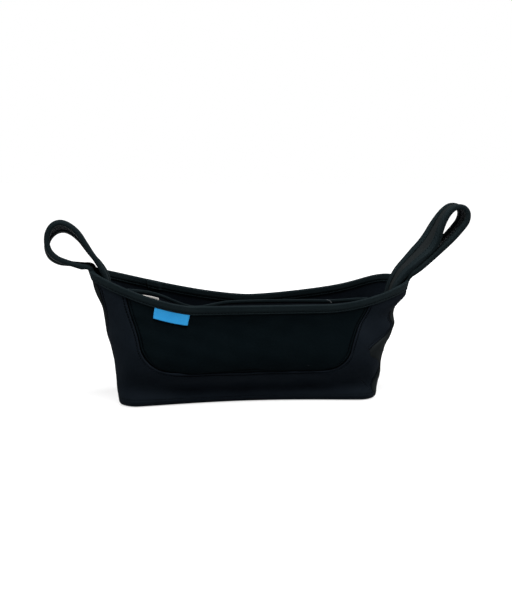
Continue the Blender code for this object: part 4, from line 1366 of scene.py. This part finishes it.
def fading_out(tree):
    """From 0 below the bag to 1 at some distance from it, by the floor's own coordinates."""
    place = add_node(tree, "TexCoord", {}).outputs["Object"]
    reach = add_node(tree, "VectorMath", {0: place}, operation="LENGTH").outputs["Value"]
    inputs = {"From Min": FLOOR_FADE[0], "From Max": FLOOR_FADE[1], "Value": reach}
    return add_node(tree, "MapRange", inputs, interpolation_type="SMOOTHSTEP").outputs["Result"]


def seen_by(tree, *rays):
    """1 for rays of the kinds named, 0 for the rest."""
    path = add_node(tree, "LightPath", {}).outputs
    seen = path["Is %s Ray" % rays[0]]
    for ray in rays[1:]:
        seen = arithmetic(tree, "MAXIMUM", seen, path["Is %s Ray" % ray])
    return seen


def white_to_the_camera(tree, shader_output, strength):
    """The shader with extra white that only the camera, gloss and glass see."""
    seen = seen_by(tree, "Camera", "Glossy", "Transmission")
    glow = add_node(tree, "Emission", {"Strength": arithmetic(tree, "MULTIPLY", seen, strength)})
    return add_node(tree, "AddShader", {0: shader_output, 1: glow.outputs["Emission"]}).outputs["Shader"]


def add_floor():
    mesh = bpy.data.meshes.new("floor")
    corners = [(x * FLOOR_SIZE, y * FLOOR_SIZE, 0) for x, y in ((-1, -1), (1, -1), (1, 1), (-1, 1))]
    mesh.from_pydata(corners, [], [(0, 1, 2, 3)])
    material = bpy.data.materials.new("floor")
    tree = shader_tree(material)
    shader = tree.nodes["Principled BSDF"]
    grey = (FLOOR_GREY, FLOOR_GREY, FLOOR_GREY, 1)
    fill_inputs(tree, shader, {"Base Color": grey, "Roughness": 1.0, "Specular IOR Level": 0.0})
    strength = arithmetic(tree, "ADD", arithmetic(tree, "MULTIPLY", fading_out(tree), FLOOR_GLOW_RISE), FLOOR_GLOW)
    surface = white_to_the_camera(tree, shader.outputs["BSDF"], strength)
    fill_inputs(tree, tree.nodes["Material Output"], {"Surface": surface})
    mesh.materials.append(material)
    add_object("floor", mesh)


def add_world():
    world = bpy.data.worlds.new("studio")
    tree = shader_tree(world)
    glow = arithmetic(tree, "MULTIPLY", seen_by(tree, "Camera", "Transmission"), WORLD_GLOW)
    strength = arithmetic(tree, "ADD", glow, WORLD_LIGHT)
    fill_inputs(tree, tree.nodes["Background"], {"Strength": strength, "Color": (1, 1, 1, 1)})
    bpy.context.scene.world = world


def add_camera():
    azimuth, elevation, roll = (math.radians(a) for a in (VIEW_AZIMUTH, VIEW_ELEVATION, VIEW_ROLL))
    level = math.cos(elevation)
    look = Vector((-math.sin(azimuth) * level, math.cos(azimuth) * level, -math.sin(elevation)))
    right = Vector((math.cos(azimuth), math.sin(azimuth), 0))
    up = right.cross(look)
    target = right * TARGET_RIGHT + Vector((0, 0, TARGET_HEIGHT))
    rolled_right = right * math.cos(roll) + up * math.sin(roll)
    rolled_up = up * math.cos(roll) - right * math.sin(roll)
    lens = bpy.data.cameras.new("camera")
    lens.lens = LENS
    camera = add_object("camera", lens)
    turn = Matrix((rolled_right, rolled_up, -look)).transposed()
    camera.matrix_world = Matrix.Translation(target - look * VIEW_DISTANCE) @ turn.to_4x4()
    bpy.context.scene.camera = camera


def build():
    add_camera()
    add_floor()
    add_world()
    for name, lamp in LAMPS.items():
        add_light(name, *lamp)
    base = add_base()
    front_pocket = add_front_pocket()
    yoke = add_front_yoke()
    add_painted_seam_shade()
    add_corner_seam_shade()
    back_wall = add_back()
    ends = [add_end("left", -1, 14), add_end("right", 1, 16)]
    add_edge_tape()
    for add_pair, seed in ((add_strap_lining, 21), (add_hook_patch, 23)):
        add_pair("left", -1, seed)
        add_pair("right", 1, seed + 1)
    add_divider()
    add_front_tag()
    add_care_label()
    add_stitches()
    add_lint()


build()

bpy.context.scene.view_settings.view_transform = "Standard"
